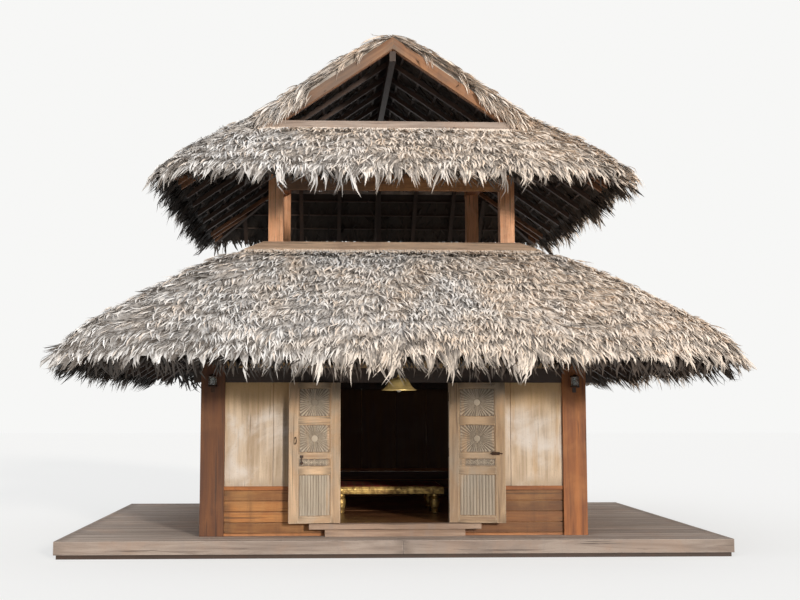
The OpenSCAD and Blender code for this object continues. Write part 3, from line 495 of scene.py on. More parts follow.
# Materials of the CAD nodes that show as they are: a look, and where the grain of each node runs
rafterFall = ("fall", 2.075, 1.86, 1.775, 2.155)
nodeRules = {
    "hardwood": (hardwoodLook, {
        "wall_rails": ("split", 1, 2.3, 1, 2.29), "side_plates": "y", "end_plates": "x",
        "loft_rim": ("split", 1, 1.61, 1, 1.905), "floor_joists": "x", "upper_side_plates": "y",
        "upper_end_plates": "x",
    }),
    "foot": (dict(hardwoodLook, light=(0.56, 0.25, 0.095), dark=(0.30, 0.12, 0.045)),
             {"wall_sills": ("split", 1, 2.3, 1, 2.3)}),
    # painted sunlight: the loft's posts are a bright, sunlit copy of the hardwood
    "loft": (dict(hardwoodLook, light=(0.95, 0.49, 0.26), dark=(0.66, 0.31, 0.15), patch=(0.92, 0.58, 0.37)),
             {"main_posts": "z"}),
    "rafter": (dict(
        hardwoodLook, light=(0.30, 0.14, 0.065), dark=(0.15, 0.065, 0.03), patch=(0.34, 0.20, 0.12),
        # painted shade: the upper rafters are darkened inside the loft
        patchShare=0.4, inner=(0.06, 0.03, 0.018), innerBox=(9.0, 2.03)), {"upper_rafters": "x"}),
    # painted shade: a near-black copy of the batten wood for the skirt rafters and the loft strut
    "skirt": (dict(battenLook, light=(0.05, 0.028, 0.018), dark=(0.028, 0.015, 0.009)),
              {"skirt_rafters": "y", "loft_strut": "z"}),
    "batten": (battenLook, {
        # painted shadow: the ground sleepers take this near-black wood as the shadow gap under the deck's
        # fascia
        "ground_sleepers": "x", "lower_rafters": rafterFall, "lower_hips": rafterFall, "upper_hips": "y",
        "ridge_beam": "y",
    }),
    "deck": (deckLook, {"deck_joists": "y", "gable_planks": "x"}),
    # painted shade: the left corner posts are darker
    "post": (dict(hardwoodLook, paintedShadeSide=(-1, 0.6)), {"corner_posts": "z"}),
    # painted shade: the tie beams under the eave are a near-black copy of the hardwood
    "beam": (dict(
        hardwoodLook, light=(0.045, 0.024, 0.013), dark=(0.02, 0.011, 0.007), patch=(0.05, 0.03, 0.02),
        fibre=(0.03, 0.016, 0.01), worn=(0.07, 0.04, 0.025)), {"tie_beams": ("split", 1, 2.25, 1, 2.24)}),
    "sill": (dict(deckLook, light=(0.76, 0.55, 0.39), dark=(0.42, 0.29, 0.20), fibre=(0.56, 0.40, 0.29)),
             {"loft_sill": ("split", 1, 1.67, 1, 1.965)}),
    "step": (dict(deckLook, light=(0.50, 0.355, 0.26), dark=(0.25, 0.165, 0.115), fibre=(0.38, 0.26, 0.19)),
             {"threshold": "x", "door_step": "x"}),
    "pale": (paleLook, {"door_jambs": "z"}),
}


def paintNode(node, material):
    for slot in nodes[node].material_slots:
        slot.material = material


for family, (look, rules) in nodeRules.items():
    made = {rule: woodMaterial(family + "Grain" + str(number), look, rule)
            for number, rule in enumerate(dict.fromkeys(rules.values()))}
    for node, rule in rules.items():
        paintNode(node, made[rule])


def thatchMaterial(name, look):
    # strandTone differs from leaf to leaf, and strandAlong runs from a leaf's root, 0, to its tip, 1
    material, tree, shader = startMaterial(name)
    place = tree.place()
    side = tree.split(place)[0]
    tone, along = tree.mark("strandTone"), tree.mark("strandAlong")
    fine = tree.noise(place, 90.0, 2, 0.6)
    # painted light: the left side is greyed towards cool shade and the right side lightened as if sunlit;
    # the grey patches from noise are weathering
    lightness = tree.calc("ADD", tree.times(tone, 0.6), tree.times(tree.noise(place, 6.0, 3, 0.6, 0.3), 0.5))
    lightness = tree.calc("MULTIPLY_ADD", side, look["paintedSunRight"], lightness, clamp=True)
    broad = tree.calc("MULTIPLY_ADD", side, look["lean"], tree.noise(place, 1.1, 3, 0.6, 0.6))
    bright = tree.spread(lightness, 0.15, 0.63)
    colour = tree.mix(bright, look["dark"], look["light"])
    greyed = tree.mix(bright, look["dark"], look["grey"])
    colour = tree.cover(colour, greyed, look["greyShare"], tree.spread(broad, 0.36, 0.74))
    colour = tree.cover(colour, look["warm"], look["warmShare"], tree.calc("GREATER_THAN", tone, 0.86))
    # painted shade: leaves darken towards their roots, where they lie under other leaves
    colour = tree.cover(colour, look["root"], look["rootShadeShare"], tree.without(tree.spread(along, 0.0, 0.5)))
    colour = tree.cover(colour, look["tip"], 0.35, tree.spread(along, 0.82, 1.0))
    colour = tree.cover(colour, look["root"], 0.35, tree.spread(fine, 0.55, 0.75))
    tree.paint(shader, colour, tree.calc("MULTIPLY_ADD", fine, 0.2, 0.68), fine, 0.4, 0.003)
    return material


thatchLook = {
    "dark": (0.14, 0.12, 0.105), "light": (0.98, 0.85, 0.73), "grey": (0.92, 0.945, 0.975),
    "greyShare": 0.72, "warm": (0.66, 0.46, 0.29), "warmShare": 0.4, "root": (0.09, 0.07, 0.055),
    "rootShadeShare": 0.55, "tip": (0.42, 0.33, 0.25), "lean": -0.075, "paintedSunRight": 0.02,
}
thatch = thatchMaterial("palmThatch", thatchLook)
stripLook = dict(thatchLook, dark=(0.80, 0.72, 0.63), greyShare=0.1, rootShadeShare=0.1)
stripThatch = thatchMaterial("stitchedThatch", stripLook)
# painted shade: near-black thatch for undersides, eave edges, hanging leaf ends and the inner fringe
shadeUnderLook = dict(
    thatchLook, dark=(0.012, 0.009, 0.007), light=(0.065, 0.045, 0.032), grey=(0.03, 0.024, 0.02),
    tip=(0.03, 0.02, 0.014), warm=(0.10, 0.05, 0.025), root=(0.012, 0.009, 0.007))
paintedShadeThatch = thatchMaterial("palmThatchPaintedShade", shadeUnderLook)
print("materials ready")


# Thatch leaves: a broad leaf is a folded, tapering strip, and a thin one lies flat.
# Each copy bends on its own way down the slope

leafShapes = {}
for kind, sides, widths in (("folded", 2, (0.5, 1.0, 0.75, 0.04)), ("flat", 1, (0.6, 1.0, 0.8, 0.08))):
    points, faces = takeShape(newGrid(3, sides))
    # station is 0 at the root and 3 at the tip, side is -1, 0 or 1 across
    leafShapes[kind] = {"faces": faces, "station": np.round((points[:, 0] + 1) * 1.5).astype(int),
                        "side": np.round(points[:, 1]).astype(int), "width": np.array(widths)}


def turned(across, outs, heights, turn):
    # across runs along +X and out along -Y at the front; the other sides are turned from it
    quarter = turn * math.pi / 2
    return np.stack([across * math.cos(quarter) + outs * math.sin(quarter),
                     across * math.sin(quarter) - outs * math.cos(quarter), heights], -1)


def holdUnder(values, limit, soft):
    # squeezes what would pass a limit into the last bit before it, so that nothing lies flat on it
    over = np.maximum(values - (limit - soft), 0)
    return np.where(over > 0, limit - soft * np.exp(-over / soft), values)


def leafBunch(root, tone, yaw, slope, ends=np.inf, stretch=1.0, hook=0.0):
    # root: across, out and height; slope: angle of fall; ends: the way that each leaf has to the eave
    root = np.stack(np.broadcast_arrays(*root), 1)
    given = {"tone": tone, "yaw": yaw, "slope": slope, "ends": ends, "stretch": stretch, "hook": hook}
    return {"root": root, **{mark: np.broadcast_to(value, len(root)) for mark, value in given.items()}}


def growLeaves(name, kind, bunches, look, random, turn, material=thatch):
    station, side, widths = (leafShapes[kind][part] for part in ("station", "side", "width"))
    leaf = {mark: np.concatenate([bunch[mark] for bunch in bunches]) for mark in bunches[0]}
    count, last = len(leaf["root"]), len(widths) - 1
    step = look["length"] * random.uniform(0.7, 1.35, count) * leaf["stretch"] / last
    lift = random.uniform(*look["lift"], count)
    droop = random.uniform(*look["droop"], count)
    twist = random.normal(0, look["twist"], count) + leaf["hook"]
    half = widths * (look["width"] * random.uniform(0.6, 1.35, count))[:, None] / 2
    roll = random.normal(0, 0.45, count)[:, None, None]
    centre = np.zeros((count, last + 1, 3))
    centre[:, 0] = leaf["root"]
    angles, yaws, run = np.zeros((count, last + 1)), np.zeros((count, last + 1)), np.zeros(count)
    for i in range(last + 1):
        s = i / last
        past = np.clip((run - leaf["ends"]) / look["bend"], 0, 1)
        angle = leaf["slope"] - lift * (1 - 1.6 * s) + droop * s * s
        angle = angle + (look["hang"] - leaf["slope"]) * past * past * (3 - 2 * past)
        angles[:, i] = np.clip(angle, -0.6, 1.62)
        yaws[:, i] = leaf["yaw"] + twist * s * s
        if i < last:
            ahead = np.cos(yaws[:, i]) * step
            centre[:, i + 1] = centre[:, i] + np.stack([
                np.sin(yaws[:, i]) * step, ahead * np.cos(angles[:, i]), -ahead * np.sin(angles[:, i])], 1)
            run = run + ahead
    across = np.stack([np.cos(yaws), -np.sin(yaws) * np.cos(angles), np.zeros_like(yaws)], 2)
    normal = np.stack([np.zeros_like(angles), np.sin(angles), np.cos(angles)], 2)
    tilted = across * np.cos(roll) + normal * np.sin(roll)
    half = half[:, station, None]
    points = centre[:, station] + tilted[:, station] * half * side[:, None]
    if kind == "folded":
        points = points + normal[:, station] * half * 0.45 * (side == 0)[:, None]
    corner = (np.abs(points[..., 0]) / look["cornerAt"]).clip(0, 1) ** 5
    x, y, z = np.moveaxis(turned(*np.moveaxis(points, -1, 0), turn), -1, 0)
    wide, deep, top = look["limit"]
    z = -holdUnder(-holdUnder(z, top, 0.02), -(look["floor"] + look["cornerLift"] * corner), 0.06)
    x, y = [holdUnder(np.abs(way), limit, 0.05) * np.sign(way) for way, limit in ((x, wide), (y, deep))]
    points = np.stack([x, y, z], -1)
    leaves = layCopies(name, leafShapes[kind]["faces"], points, {
        "strandTone": np.repeat(np.clip(leaf["tone"], 0, 1)[:, None], len(station), 1),
        "strandAlong": np.repeat((station / last)[None], count, 0)})
    leaves.data.materials.append(material)
    return leaves


def slopePoint(plane, across, t, under=False):
    # plane holds stations from the eave to the top: share, out, half width, top and underside
    share, out, half, top, foot = plane.T
    level = foot if under else top
    return across * np.interp(t, share, half), np.interp(t, share, out), np.interp(t, share, level)


roofLooks = {"lower": {
    "course": 0.17, "relief": 0.055, "rows": 3, "space": 0.0225, "length": 0.15, "width": 0.021,
    "lift": (-0.1, 0.42), "droop": (0.0, 0.7), "twist": 0.8, "bend": 0.13, "hang": 1.3, "fan": 0.75,
    "yaw": 0.5, "hipLeaves": 260, "hipDeep": 0.08, "floor": 2.0, "cornerLift": 0.2, "cornerAt": 3.9,
    "shorter": 0.42, "sunk": 0.03, "limit": (4.05, 3.925, 6.66),
}}
roofLooks["upper"] = dict(
    roofLooks["lower"], course=0.18, relief=0.05, space=0.0257, length=0.16, width=0.022, bend=0.12,
    fan=0.65, hipLeaves=340, hipDeep=0.2, floor=4.28, cornerLift=0.08, cornerAt=3.0, shorter=0.2)
tuftLook = {
    "space": 0.145, "layers": (0.01, 0.06, 0.12, 0.19), "leaves": 9, "half": (0.035, 0.085),
    "length": 0.31, "width": 0.030, "lift": (-0.1, 0.2), "droop": (0.0, 0.4), "twist": 0.3,
    "hook": 0.95, "gather": 0.85, "bend": 0.17, "hang": 1.22,
}


def layBed(name, plane, turn, sunk):
    # a slab that takes the slope's shape, with its top sunk below the leaves
    bed = newSlab(56, 26)
    bed.name = name
    u, v, level = pointsOf(bed).T
    t = (v + 1) / 2
    across, outs, top = slopePoint(plane, u, t)
    foot = slopePoint(plane, u, t, under=True)[2]
    ripple = 0.012 * np.sin(across * 9 + outs * 31) + 0.01 * np.sin(across * 23 - outs * 17)
    top = top - sunk + ripple * (1 - np.abs(u) ** 8)
    setPoints(bed, turned(across, outs, np.where(level > 0.5, top, foot), turn))
    # the bed's low tone and strandAlong give it part of the painted root shade, as shaded gaps between the
    # leaves
    markPoints(bed.data, "strandTone", 0.3)
    markPoints(bed.data, "strandAlong", 0.35)
    bed.data.materials.append(thatch)
    bed.data.materials.append(paintedShadeThatch)
    # faces that look down or lie at the eave take the near-black painted shade thatch
    for face in bed.data.polygons:
        atEave = all(t[v] < 0.001 for v in face.vertices)
        face.material_index = int(face.normal.z < -0.2 or atEave)
    bed.data.shade_flat()
    return bed


def swirl(across, run):
    # slow turns that neighbouring leaves share
    return (0.30 * np.sin(3.1 * across + 1.9 * np.sin(2.3 * run)) + 0.22 * np.sin(7.7 * across - 5.1 * run)
            + 0.16 * np.sin(15.1 * across + 9.7 * run))


def scattered(random, number, reach=1.0, loose=0.5):
    # shares from -reach to reach, a little off their even places
    return np.clip(np.linspace(-reach, reach, number) + random.normal(0, loose / number, number), -1, 1)


def thatchSlope(name, plane, look, turn, node, seed):
    random = np.random.default_rng(seed)
    share, out, half, top, foot = plane.T
    runs = np.concatenate([[0], np.cumsum(np.hypot(np.diff(out), np.diff(top)))])
    total = runs[-1]
    hipped = half[0] > half[-1] + 0.1
    hipEnd = runs[np.argmin(half > half.min() + 0.01)] if hipped else total

    def pointAt(u, run):
        return slopePoint(plane, u, np.interp(run, runs, share))

    def fallAt(run):
        mid = np.clip(run, 0.03, total - 0.03)
        rise = np.interp(mid + 0.03, runs, top) - np.interp(mid - 0.03, runs, top)
        return np.arcsin(np.clip(rise / 0.06, 0, 1))

    def fanAt(u, run):
        # leaves spread towards the hips, and lie along them beside them
        beside = np.clip((hipEnd - run) / 0.4 + 0.5, 0.2, 1) if hipEnd < total - 0.3 else 1.0
        return look["fan"] * beside * np.sin(u * math.pi / 2) * (0.75 + 0.25 * np.abs(u))

    # body: courses of thin leaves, each thicker at its foot, from the eave up
    bunches = []
    for course in range(math.ceil(total / look["course"])):
        for row in range(look["rows"]):
            rise = (row + 0.5) / look["rows"]
            run = (course + rise) * look["course"]
            width = np.interp(run, runs, half)
            number = int(2 * width / look["space"])
            u = scattered(random, number)
            along = u * width
            wander = 0.05 * np.sin(along * 2.1 + course * 0.4) + 0.03 * np.sin(along * 6.3 + course * 0.7)
            here = np.clip(run + wander + random.normal(0, look["course"] * 0.12, number), 0.0, total)
            across, outs, heights = pointAt(u, here)
            deep = look["relief"] * (1 - rise) * (0.6 + 0.7 * np.sin(across * 1.7 + course * 1.3) ** 2)
            loose = 1 - 0.5 * np.abs(u) ** 3
            # tips of a course are bright over the shaded roots below them, more so in some places
            ragged = 0.5 + 0.5 * np.sin(across * 5.3 + 2.1 * np.sin(across * 1.9 + course) + course * 2.6)
            level = heights - look["sunk"] + deep + random.uniform(0, 0.014, number)
            bunches.append(leafBunch(
                (across, outs, level), slope=fallAt(here),
                yaw=fanAt(u, here) + (swirl(across, here) + random.normal(0, look["yaw"], number)) * loose,
                ends=here + random.uniform(-0.03, 0.06, number),
                tone=(0.5 + 0.3 * swirl(across * 1.7 + 3, here * 2.1)
                      + (0.16, -0.05, -0.55)[row] * (0.5 + ragged) + random.normal(0, 0.2, number))))
    if hipped:
        # leaves on the hips hide where two slopes meet
        count = int(hipEnd * look["hipLeaves"])
        for side in (-1, 1):
            here = random.uniform(0, hipEnd + 0.06, count)
            across, outs, heights = pointAt(np.full(count, side * 1.0), here)
            inward = random.uniform(0.0, 0.04, count)
            depth = random.uniform(0, 1, count) ** 1.5 * look["hipDeep"]
            # painted shade: hip leaves that lie deeper are darker
            bunches.append(leafBunch(
                (across - side * inward, outs, heights - depth), slope=fallAt(here), ends=here,
                yaw=side * (0.8 + random.normal(0, 0.25, count)),
                tone=random.normal(0.5, 0.25, count) - depth))
    parts = [layBed(name, plane, turn, look["sunk"]), growLeaves(name, "flat", bunches, look, random, turn)]

    # eave: tufts whose leaves gather into a point and hook to one side
    tuft = dict(look, **tuftLook)
    bunches = []
    for layer in tuft["layers"]:
        number = int(2 * half[0] / tuft["space"])
        middle = scattered(random, number) * half[0]
        wide = random.uniform(*tuft["half"], number)
        lengths = random.uniform(0.55, 1.25, number) * (1.0 if layer < 0.1 else 0.85)
        # the eaves hang shorter between their middle and their corners
        off = np.abs(middle)
        beside = np.clip((off - 1.3) / 0.9, 0, 1) * (1 - np.clip((off / half[0] - 0.84) / 0.1, 0, 1))
        lengths *= 1 - look["shorter"] * beside
        lean = fanAt(middle / half[0], layer) * 0.8 + random.normal(0, 0.3, number)
        hooked = random.normal(0, tuft["hook"], number)
        for leaf in range(tuft["leaves"]):
            d = (leaf / (tuft["leaves"] - 1) * 2 - 1) + random.normal(0, 0.12, number)
            across = np.clip(middle + d * wide, -half[0], half[0])
            here = np.abs(layer + random.normal(0, 0.02, number))
            across, outs, heights = pointAt(across / half[0], here)
            level = heights - 0.02 + random.uniform(-0.01, 0.015, number)
            drawn = d * wide / (tuft["length"] * lengths) * tuft["gather"]
            # painted shade: leaves of the inner tuft layers are darker than the outer layer
            bunches.append(leafBunch(
                (across, outs, level), yaw=lean - drawn + random.normal(0, 0.08, number), slope=fallAt(here),
                ends=here + random.uniform(-0.02, 0.03, number), hook=hooked,
                stretch=lengths * (1.1 - 0.35 * np.abs(d)),
                tone=(0.22 + 0.22 * np.sin(middle * 13 + layer * 50) + random.normal(0, 0.15, number)
                      - 0.15 * (layer > 0.1))))
    parts.append(growLeaves(name, "folded", bunches, tuft, random, turn))
    piece = joinPieces(name, parts)
    finishPiece(piece, replaced=[node])
    print(name, "grown,", sum(len(face.vertices) - 2 for face in piece.data.polygons), "triangles")


# Slopes; the upper roof's sides run on past the gables, with skirts between them
upperPlan = {"ridge": 6.63, "fall": 0.684, "eave": 2.92, "foot": 1.81, "gable": 2.12, "corner": 3.03,
             "leafEave": 2.88}


def swell(share, power):
    return 1 - np.abs(2 * share - 1) ** power


def ridgeTop(out):
    out = np.abs(out)
    return upperPlan["ridge"] - upperPlan["fall"] * out + 0.16 * swell(out / upperPlan["eave"], 5)


def lowerShape(outEave, outTop, halfEave, halfTop):
    # fuller towards the eave than towards the top, with a thin edge
    def shape(t):
        chord = 2.4 + 1.36 * t
        return (outEave + (outTop - outEave) * t, halfEave + (halfTop - halfEave) * t,
                chord + 0.165 * swell(t, 8 if t < 0.5 else 3), chord - 0.165 * min(1.0, 0.25 + t * 7))
    return shape


def upperShape(t):
    plan = upperPlan
    out = plan["leafEave"] * (1 - t)
    past = max(0.0, (out - plan["foot"]) / (plan["eave"] - plan["foot"]))
    half = plan["gable"] + past * (plan["corner"] - plan["gable"])
    return out, half - 0.02, ridgeTop(out), plan["ridge"] - plan["fall"] * out - 0.09


def skirtShape(t):
    past = (upperPlan["eave"] - upperPlan["gable"]) * (1 - t)
    chord = 5.392 - 0.835 * past
    return upperPlan["gable"] + past, 1.79 + past / 0.91 * 1.11, chord + 0.06 * swell(t, 4), chord - 0.09


def stations(number, ease, shape):
    return np.array([(t, *shape(t)) for t in ((i / number) ** ease for i in range(number + 1))])


planes = {
    "lower": (stations(24, 1.3, lowerShape(3.85, 2.155, 3.855, 1.86)),
              stations(24, 1.3, lowerShape(3.855, 1.86, 3.85, 2.155))),
    "upper": (stations(16, 1, skirtShape), stations(24, 1.2, upperShape)),
}
slopes = [(roof, side, planes[roof][turn % 2], turn) for roof in ("lower", "upper")
          for turn, side in enumerate(("Front", "Right", "Rear", "Left"))]
for number, (roof, side, plane, turn) in enumerate(slopes):
    node = roof + "_thatch_" + side.lower()
    thatchSlope(roof + "Thatch" + side, plane, roofLooks[roof], turn, node, 11 + number)


# Under each slope: battens across the rafters, leaf ends that hang between them, and an inner fringe; the
# leaf ends and fringe are near-black as painted shade

underLooks = {
    "lower": {"battenStep": 0.34, "batten": (0.04, 0.028), "down": 0.018, "rowStep": 0.22, "space": 0.08,
              "fringe": (0.03, 0.09, 0.16), "fringeLength": 1.5},
    "upper": {"battenStep": 0.30, "batten": (0.036, 0.022), "down": 0.014, "rowStep": 0.16, "space": 0.06,
              "fringe": (0.03, 0.09), "fringeLength": 1.2},
}
hangLook = {"length": 0.2, "width": 0.03, "lift": (-0.35, -0.05), "droop": (0.0, 0.3), "twist": 0.4}


def lineSlope(name, plane, look, under, turn, seed):
    random = np.random.default_rng(seed)
    share, out, half, top, foot = plane.T
    runs = np.concatenate([[0], np.cumsum(np.hypot(np.diff(out), np.diff(foot)))])
    total = runs[-1]
    boards = []
    wide, high = under["batten"]
    for run in np.arange(0.3, total - 0.1, under["battenStep"]):
        across, outs, heights = slopePoint(plane, 1.0, np.interp(run, runs, share), under=True)
        a = turned(-across + 0.09, outs - wide / 2, heights - under["down"] - high / 2, turn)
        b = turned(across - 0.09, outs + wide / 2, heights - under["down"] + high / 2, turn)
        boards.append((*np.minimum(a, b), *np.maximum(a, b)))
    finishBoards(name + "Battens", boards, woods["battenWood"],
                 bevel=0.005, along="xy"[turn % 2], seed=seed, wander=0.0)

    def hungFrom(u, run, reach):
        t = np.interp(run + random.normal(0, 0.03, len(u)), runs, share)
        across, outs, heights = slopePoint(plane, u * reach, t, under=True)
        return across, outs, heights + 0.01

    bunches = []
    for run in np.arange(0.12, total - 0.05, under["rowStep"]):
        number = int(2 * (np.interp(run, runs, half) - 0.06) / under["space"])
        root = hungFrom(scattered(random, number), run, 0.985)
        bunches.append(leafBunch(
            root, yaw=random.normal(0, 0.5, number), tone=random.uniform(0, 0.8, number), slope=0.75))
    for run in under["fringe"]:
        number = int(2 * np.interp(run, runs, half) * 26)
        u = scattered(random, number, 0.96, 0.8)
        root = hungFrom(u, run, 1.0)
        # shorter in the middle, over the lamp
        uneven = 0.4 * np.sin(root[0] * 3.1 - 1.6) * np.abs(u) - 0.4 * (np.abs(root[0]) < 0.45)
        uneven = under["fringeLength"] + uneven
        bunches.append(leafBunch(
            root, yaw=0.5 * np.sin(root[0] * 7 + run * 20) + random.normal(0, 0.25, number),
            tone=random.uniform(0.0, 0.5, number), stretch=uneven * random.uniform(0.7, 1.2, number),
            hook=random.normal(0, 0.5, number), slope=0.75))
    look = dict(look, **hangLook)
    finishPiece(growLeaves(name + "Ends", "flat", bunches, look, random, turn, paintedShadeThatch))


for number, (roof, side, plane, turn) in enumerate(slopes):
    lineSlope(roof + "Lining" + side, plane, roofLooks[roof], underLooks[roof], turn, 31 + number)
print("roofs lined")


# Ridge: leaves laid over it to both sides
capBed = newGrid(16, 60)
u, v, level = pointsOf(capBed).T
crown = 6.612 - 0.12 * (np.sqrt(u ** 2 + 0.02) - 0.14) + 0.004 * np.sin(v * 55)
setPoints(capBed, np.stack([u * 0.29, v * 2.11, crown], 1))
thickness = capBed.modifiers.new("thickness", "SOLIDIFY")
thickness.thickness = 0.02
thickness.offset = 1
selectOnly(capBed)
bpy.ops.object.modifier_apply(modifier=thickness.name)
# the ridge bed's marks give it most of the painted root shade
markPoints(capBed.data, "strandTone", 0.3)
markPoints(capBed.data, "strandAlong", 0.1)
capBed.data.materials.append(thatch)
capParts = [capBed]
ridgeLook = dict(roofLooks["upper"], length=0.3, lift=(-0.05, 0.1), droop=(0.1, 0.6), leaves=900)
for turn, seed in ((1, 61), (3, 62)):
    random = np.random.default_rng(seed)
    count = ridgeLook["leaves"]
    across = random.uniform(-2.12, 2.12, count)
    outs = random.uniform(-0.08, 0.12, count)
    bunch = leafBunch((across, outs, ridgeTop(outs) + random.uniform(0.004, 0.026, count)),
                      tone=random.uniform(0.2, 1, count), yaw=random.normal(0, 0.45, count), slope=0.35)
    capParts.append(growLeaves("capLeaves", "flat", [bunch], ridgeLook, random, turn))
finishPiece(joinPieces("ridgeCapLeaves", capParts), replaced=["ridge_cap"])

# Gable edges: leaves run down beside the rafters, two tassels droop over them, and curtains hang at
# their feet
rakeLook = dict(
    roofLooks["upper"], length=0.24, width=0.024, lift=(-0.05, 0.15), droop=(0.0, 0.35), twist=0.35,
    limit=(4.05, 2.30, 6.66), edge=2.15, leaves=1000)
tasselLook = dict(
    rakeLook, length=0.2, width=0.03, lift=(0.0, 0.2), droop=(0.3, 0.9), bend=0.08, hang=1.4, leaves=14,
    curtain=240)
for turn, name in ((1, "gableEdgesRight"), (3, "gableEdgesLeft")):
    random = np.random.default_rng(71 + turn)
    rakes = []
    for end in (-1, 1):
        count = rakeLook["leaves"]
        outs = random.uniform(0.02, 2.0, count)
        depth = random.uniform(0, 1, count)
        # a thin edge near the ridge, fuller below
        thick = 0.04 + 0.11 * np.clip(outs / 1.2, 0, 1)
        across = end * random.uniform(2.09, rakeLook["edge"], count)
        # painted shade: deeper leaves on the gable edge are darker
        bunch = leafBunch(
            (across, outs, ridgeTop(outs) - 0.01 - depth * thick), slope=0.58,
            tone=random.normal(0.6, 0.2, count) - 0.3 * depth, yaw=end * random.normal(0.06, 0.14, count))
        rakes.append(growLeaves("rake", "flat", [bunch], rakeLook, random, turn))
        count = tasselLook["curtain"]
        outs = random.uniform(1.05, 1.72, count)
        across = end * 2.145 + end * random.uniform(0, 0.06, count)
        bunch = leafBunch(
            (across, outs, ridgeTop(outs) - random.uniform(0.04, 0.26, count)),
            tone=random.uniform(0.3, 0.8, count), yaw=random.normal(0, 0.12, count),
            slope=random.uniform(0.75, 1.2, count))
        rakes.append(growLeaves("curtain", "folded", [bunch], tasselLook, random, turn))
        for place in random.uniform(0.35, 0.95, 2):
            count = tasselLook["leaves"]
            outs = place + random.uniform(-0.04, 0.04, count)
            bunch = leafBunch(
                (end * rakeLook["edge"], outs, ridgeTop(outs) - random.uniform(0.02, 0.12, count)),
                slope=1.1, tone=random.uniform(0.4, 0.9, count), yaw=random.normal(0, 0.15, count),
                hook=random.normal(0, 0.4))
            rakes.append(growLeaves("tassel", "folded", [bunch], tasselLook, random, turn))
    finishPiece(joinPieces(name, rakes))

# Barge boards on the outermost rafters, cut upright where they meet
bargeParts = []
for number, (side, end) in enumerate(((-1, -1), (1, -1), (-1, 1), (1, 1))):
    x0, x1 = span(side, 0.0, 1.86)
    y0, y1 = span(end, 2.121, 2.139)
    board = (x0, y0, 6.452, x1, y1, 6.61)
    board = layBoards("bargeBoard", [board], bevel=0.003, seed=51 + number, wander=0.0)
    fallen = Matrix.Identity(4)
    fallen[2][0] = -upperPlan["fall"] * side
    bargeParts.append(movePoints(board, fallen))
finishPiece(joinPieces("bargeBoards", bargeParts), woods["bargeWood"])

# Stitched strips along the tops of the skirts and of the lower roof: turn, out, half width, height and fall
stripLeaves = dict(
    roofLooks["upper"], length=0.10, width=0.014, lift=(0.0, 0.02), droop=(0.0, 0.1), twist=0.05, floor=2.0,
    pitch=0.0085)
strips = [(turn, 2.145, 1.74, 5.40, 0.69) for turn in (0, 2)]
strips += [(turn, 2.19, 1.90, 3.80, 0.55) for turn in (0, 2)]
strips += [(turn, 1.90, 2.19, 3.80, 0.55) for turn in (1, 3)]
for number, (turn, outs, half, height, fall) in enumerate(strips):
    random = np.random.default_rng(81 + number)
    count = int(2 * half / stripLeaves["pitch"])
    bunch = leafBunch((np.linspace(-half, half, count), outs, height + random.normal(0, 0.002, count)),
                      tone=random.uniform(0.7, 0.86, count), yaw=random.normal(0, 0.05, count), slope=fall)
    name = "stitchedStrip" + str(number)
    strip = growLeaves(name, "flat", [bunch], stripLeaves, random, turn, stripThatch)
    finishPiece(strip)
print("ridge and edges laid")


# Beam between the loft's front posts, behind the skirt's fringe
loftBeam = (-1.42, -1.895, 4.625, 1.42, -1.835, 4.86)
finishBoards("loftFrontBeam", [loftBeam], woods["loftBeamWood"], bevel=0.005, seed=19)

# Deck boards run across, with strips beside the walls and fascia boards round them
deckPlan = {"pitch": 0.1, "joint": 0.003, "butt": 0.0015, "top": 0.21, "under": 0.18, "x": 4.035, "y": 2.9,
            "fascia": 0.03, "fasciaFoot": 0.05, "fasciaTop": 0.211, "fasciaButt": 0.001}


def deckRows(x0, x1, y0, y1, lengths):
    # lengths holds the cuts of the rows in turn, as shares
    boards = []
    rows = round((y1 - y0) / deckPlan["pitch"])
    pitch = (y1 - y0) / rows
    under, top, joint, butt = (deckPlan[part] for part in ("under", "top", "joint", "butt"))
    for row in range(rows):
        near = y0 + row * pitch
        cuts = [x0, *[x0 + (x1 - x0) * c for c in lengths[row % len(lengths)]], x1]
        boards += [(a + butt, near + joint, under, b - butt, near + pitch - joint, top)
                   for a, b in zip(cuts, cuts[1:])]
    return boards


deckBoards, fasciaEnds, fasciaSides = [], [], []
halfX, halfY, thick, butt = (deckPlan[part] for part in ("x", "y", "fascia", "fasciaButt"))
foot, top = deckPlan["fasciaFoot"], deckPlan["fasciaTop"]
for side in (-1, 1):
    deckBoards += deckRows(-halfX, halfX, *span(side, halfY, 2.4), [(0.33, 0.7), (0.5,), (0.22, 0.62)])
    deckBoards += deckRows(*span(side, halfX, 2.405), -2.394, 2.394, [()])
    y0, y1 = span(side, 2.401, 2.361)
    deckBoards.append((-2.11, y0, deckPlan["under"], 2.11, y1, deckPlan["top"]))
    x0, x1 = span(side, 2.366, 2.406)
    deckBoards.append((x0, -2.105, deckPlan["under"], x1, 2.105, deckPlan["top"]))
    y0, y1 = span(side, halfY + thick, halfY)
    fasciaEnds += [(a + butt, y0, foot, b - butt, y1, top) for a, b in ((-4.065, 0.07), (0.07, 4.065))]
    x0, x1 = span(side, halfX + thick, halfX)
    fasciaSides += [(x0, a + butt, foot, x1, b - butt, top) for a, b in ((-2.899, 0.0), (0.0, 2.899))]
wood = woods["deckWood"]
finishBoards("deckBoards", deckBoards, wood, ["deck_boards"], "deck", bevel=0.003, seed=21)
finishBoards("deckFasciaEnds", fasciaEnds, wood, ["deck_fascia"], "deck", bevel=0.005, wander=0, seed=22)
finishBoards("deckFasciaSides", fasciaSides, wood, slot="deck", bevel=0.005, along="y", wander=0, seed=23)
print("deck laid")

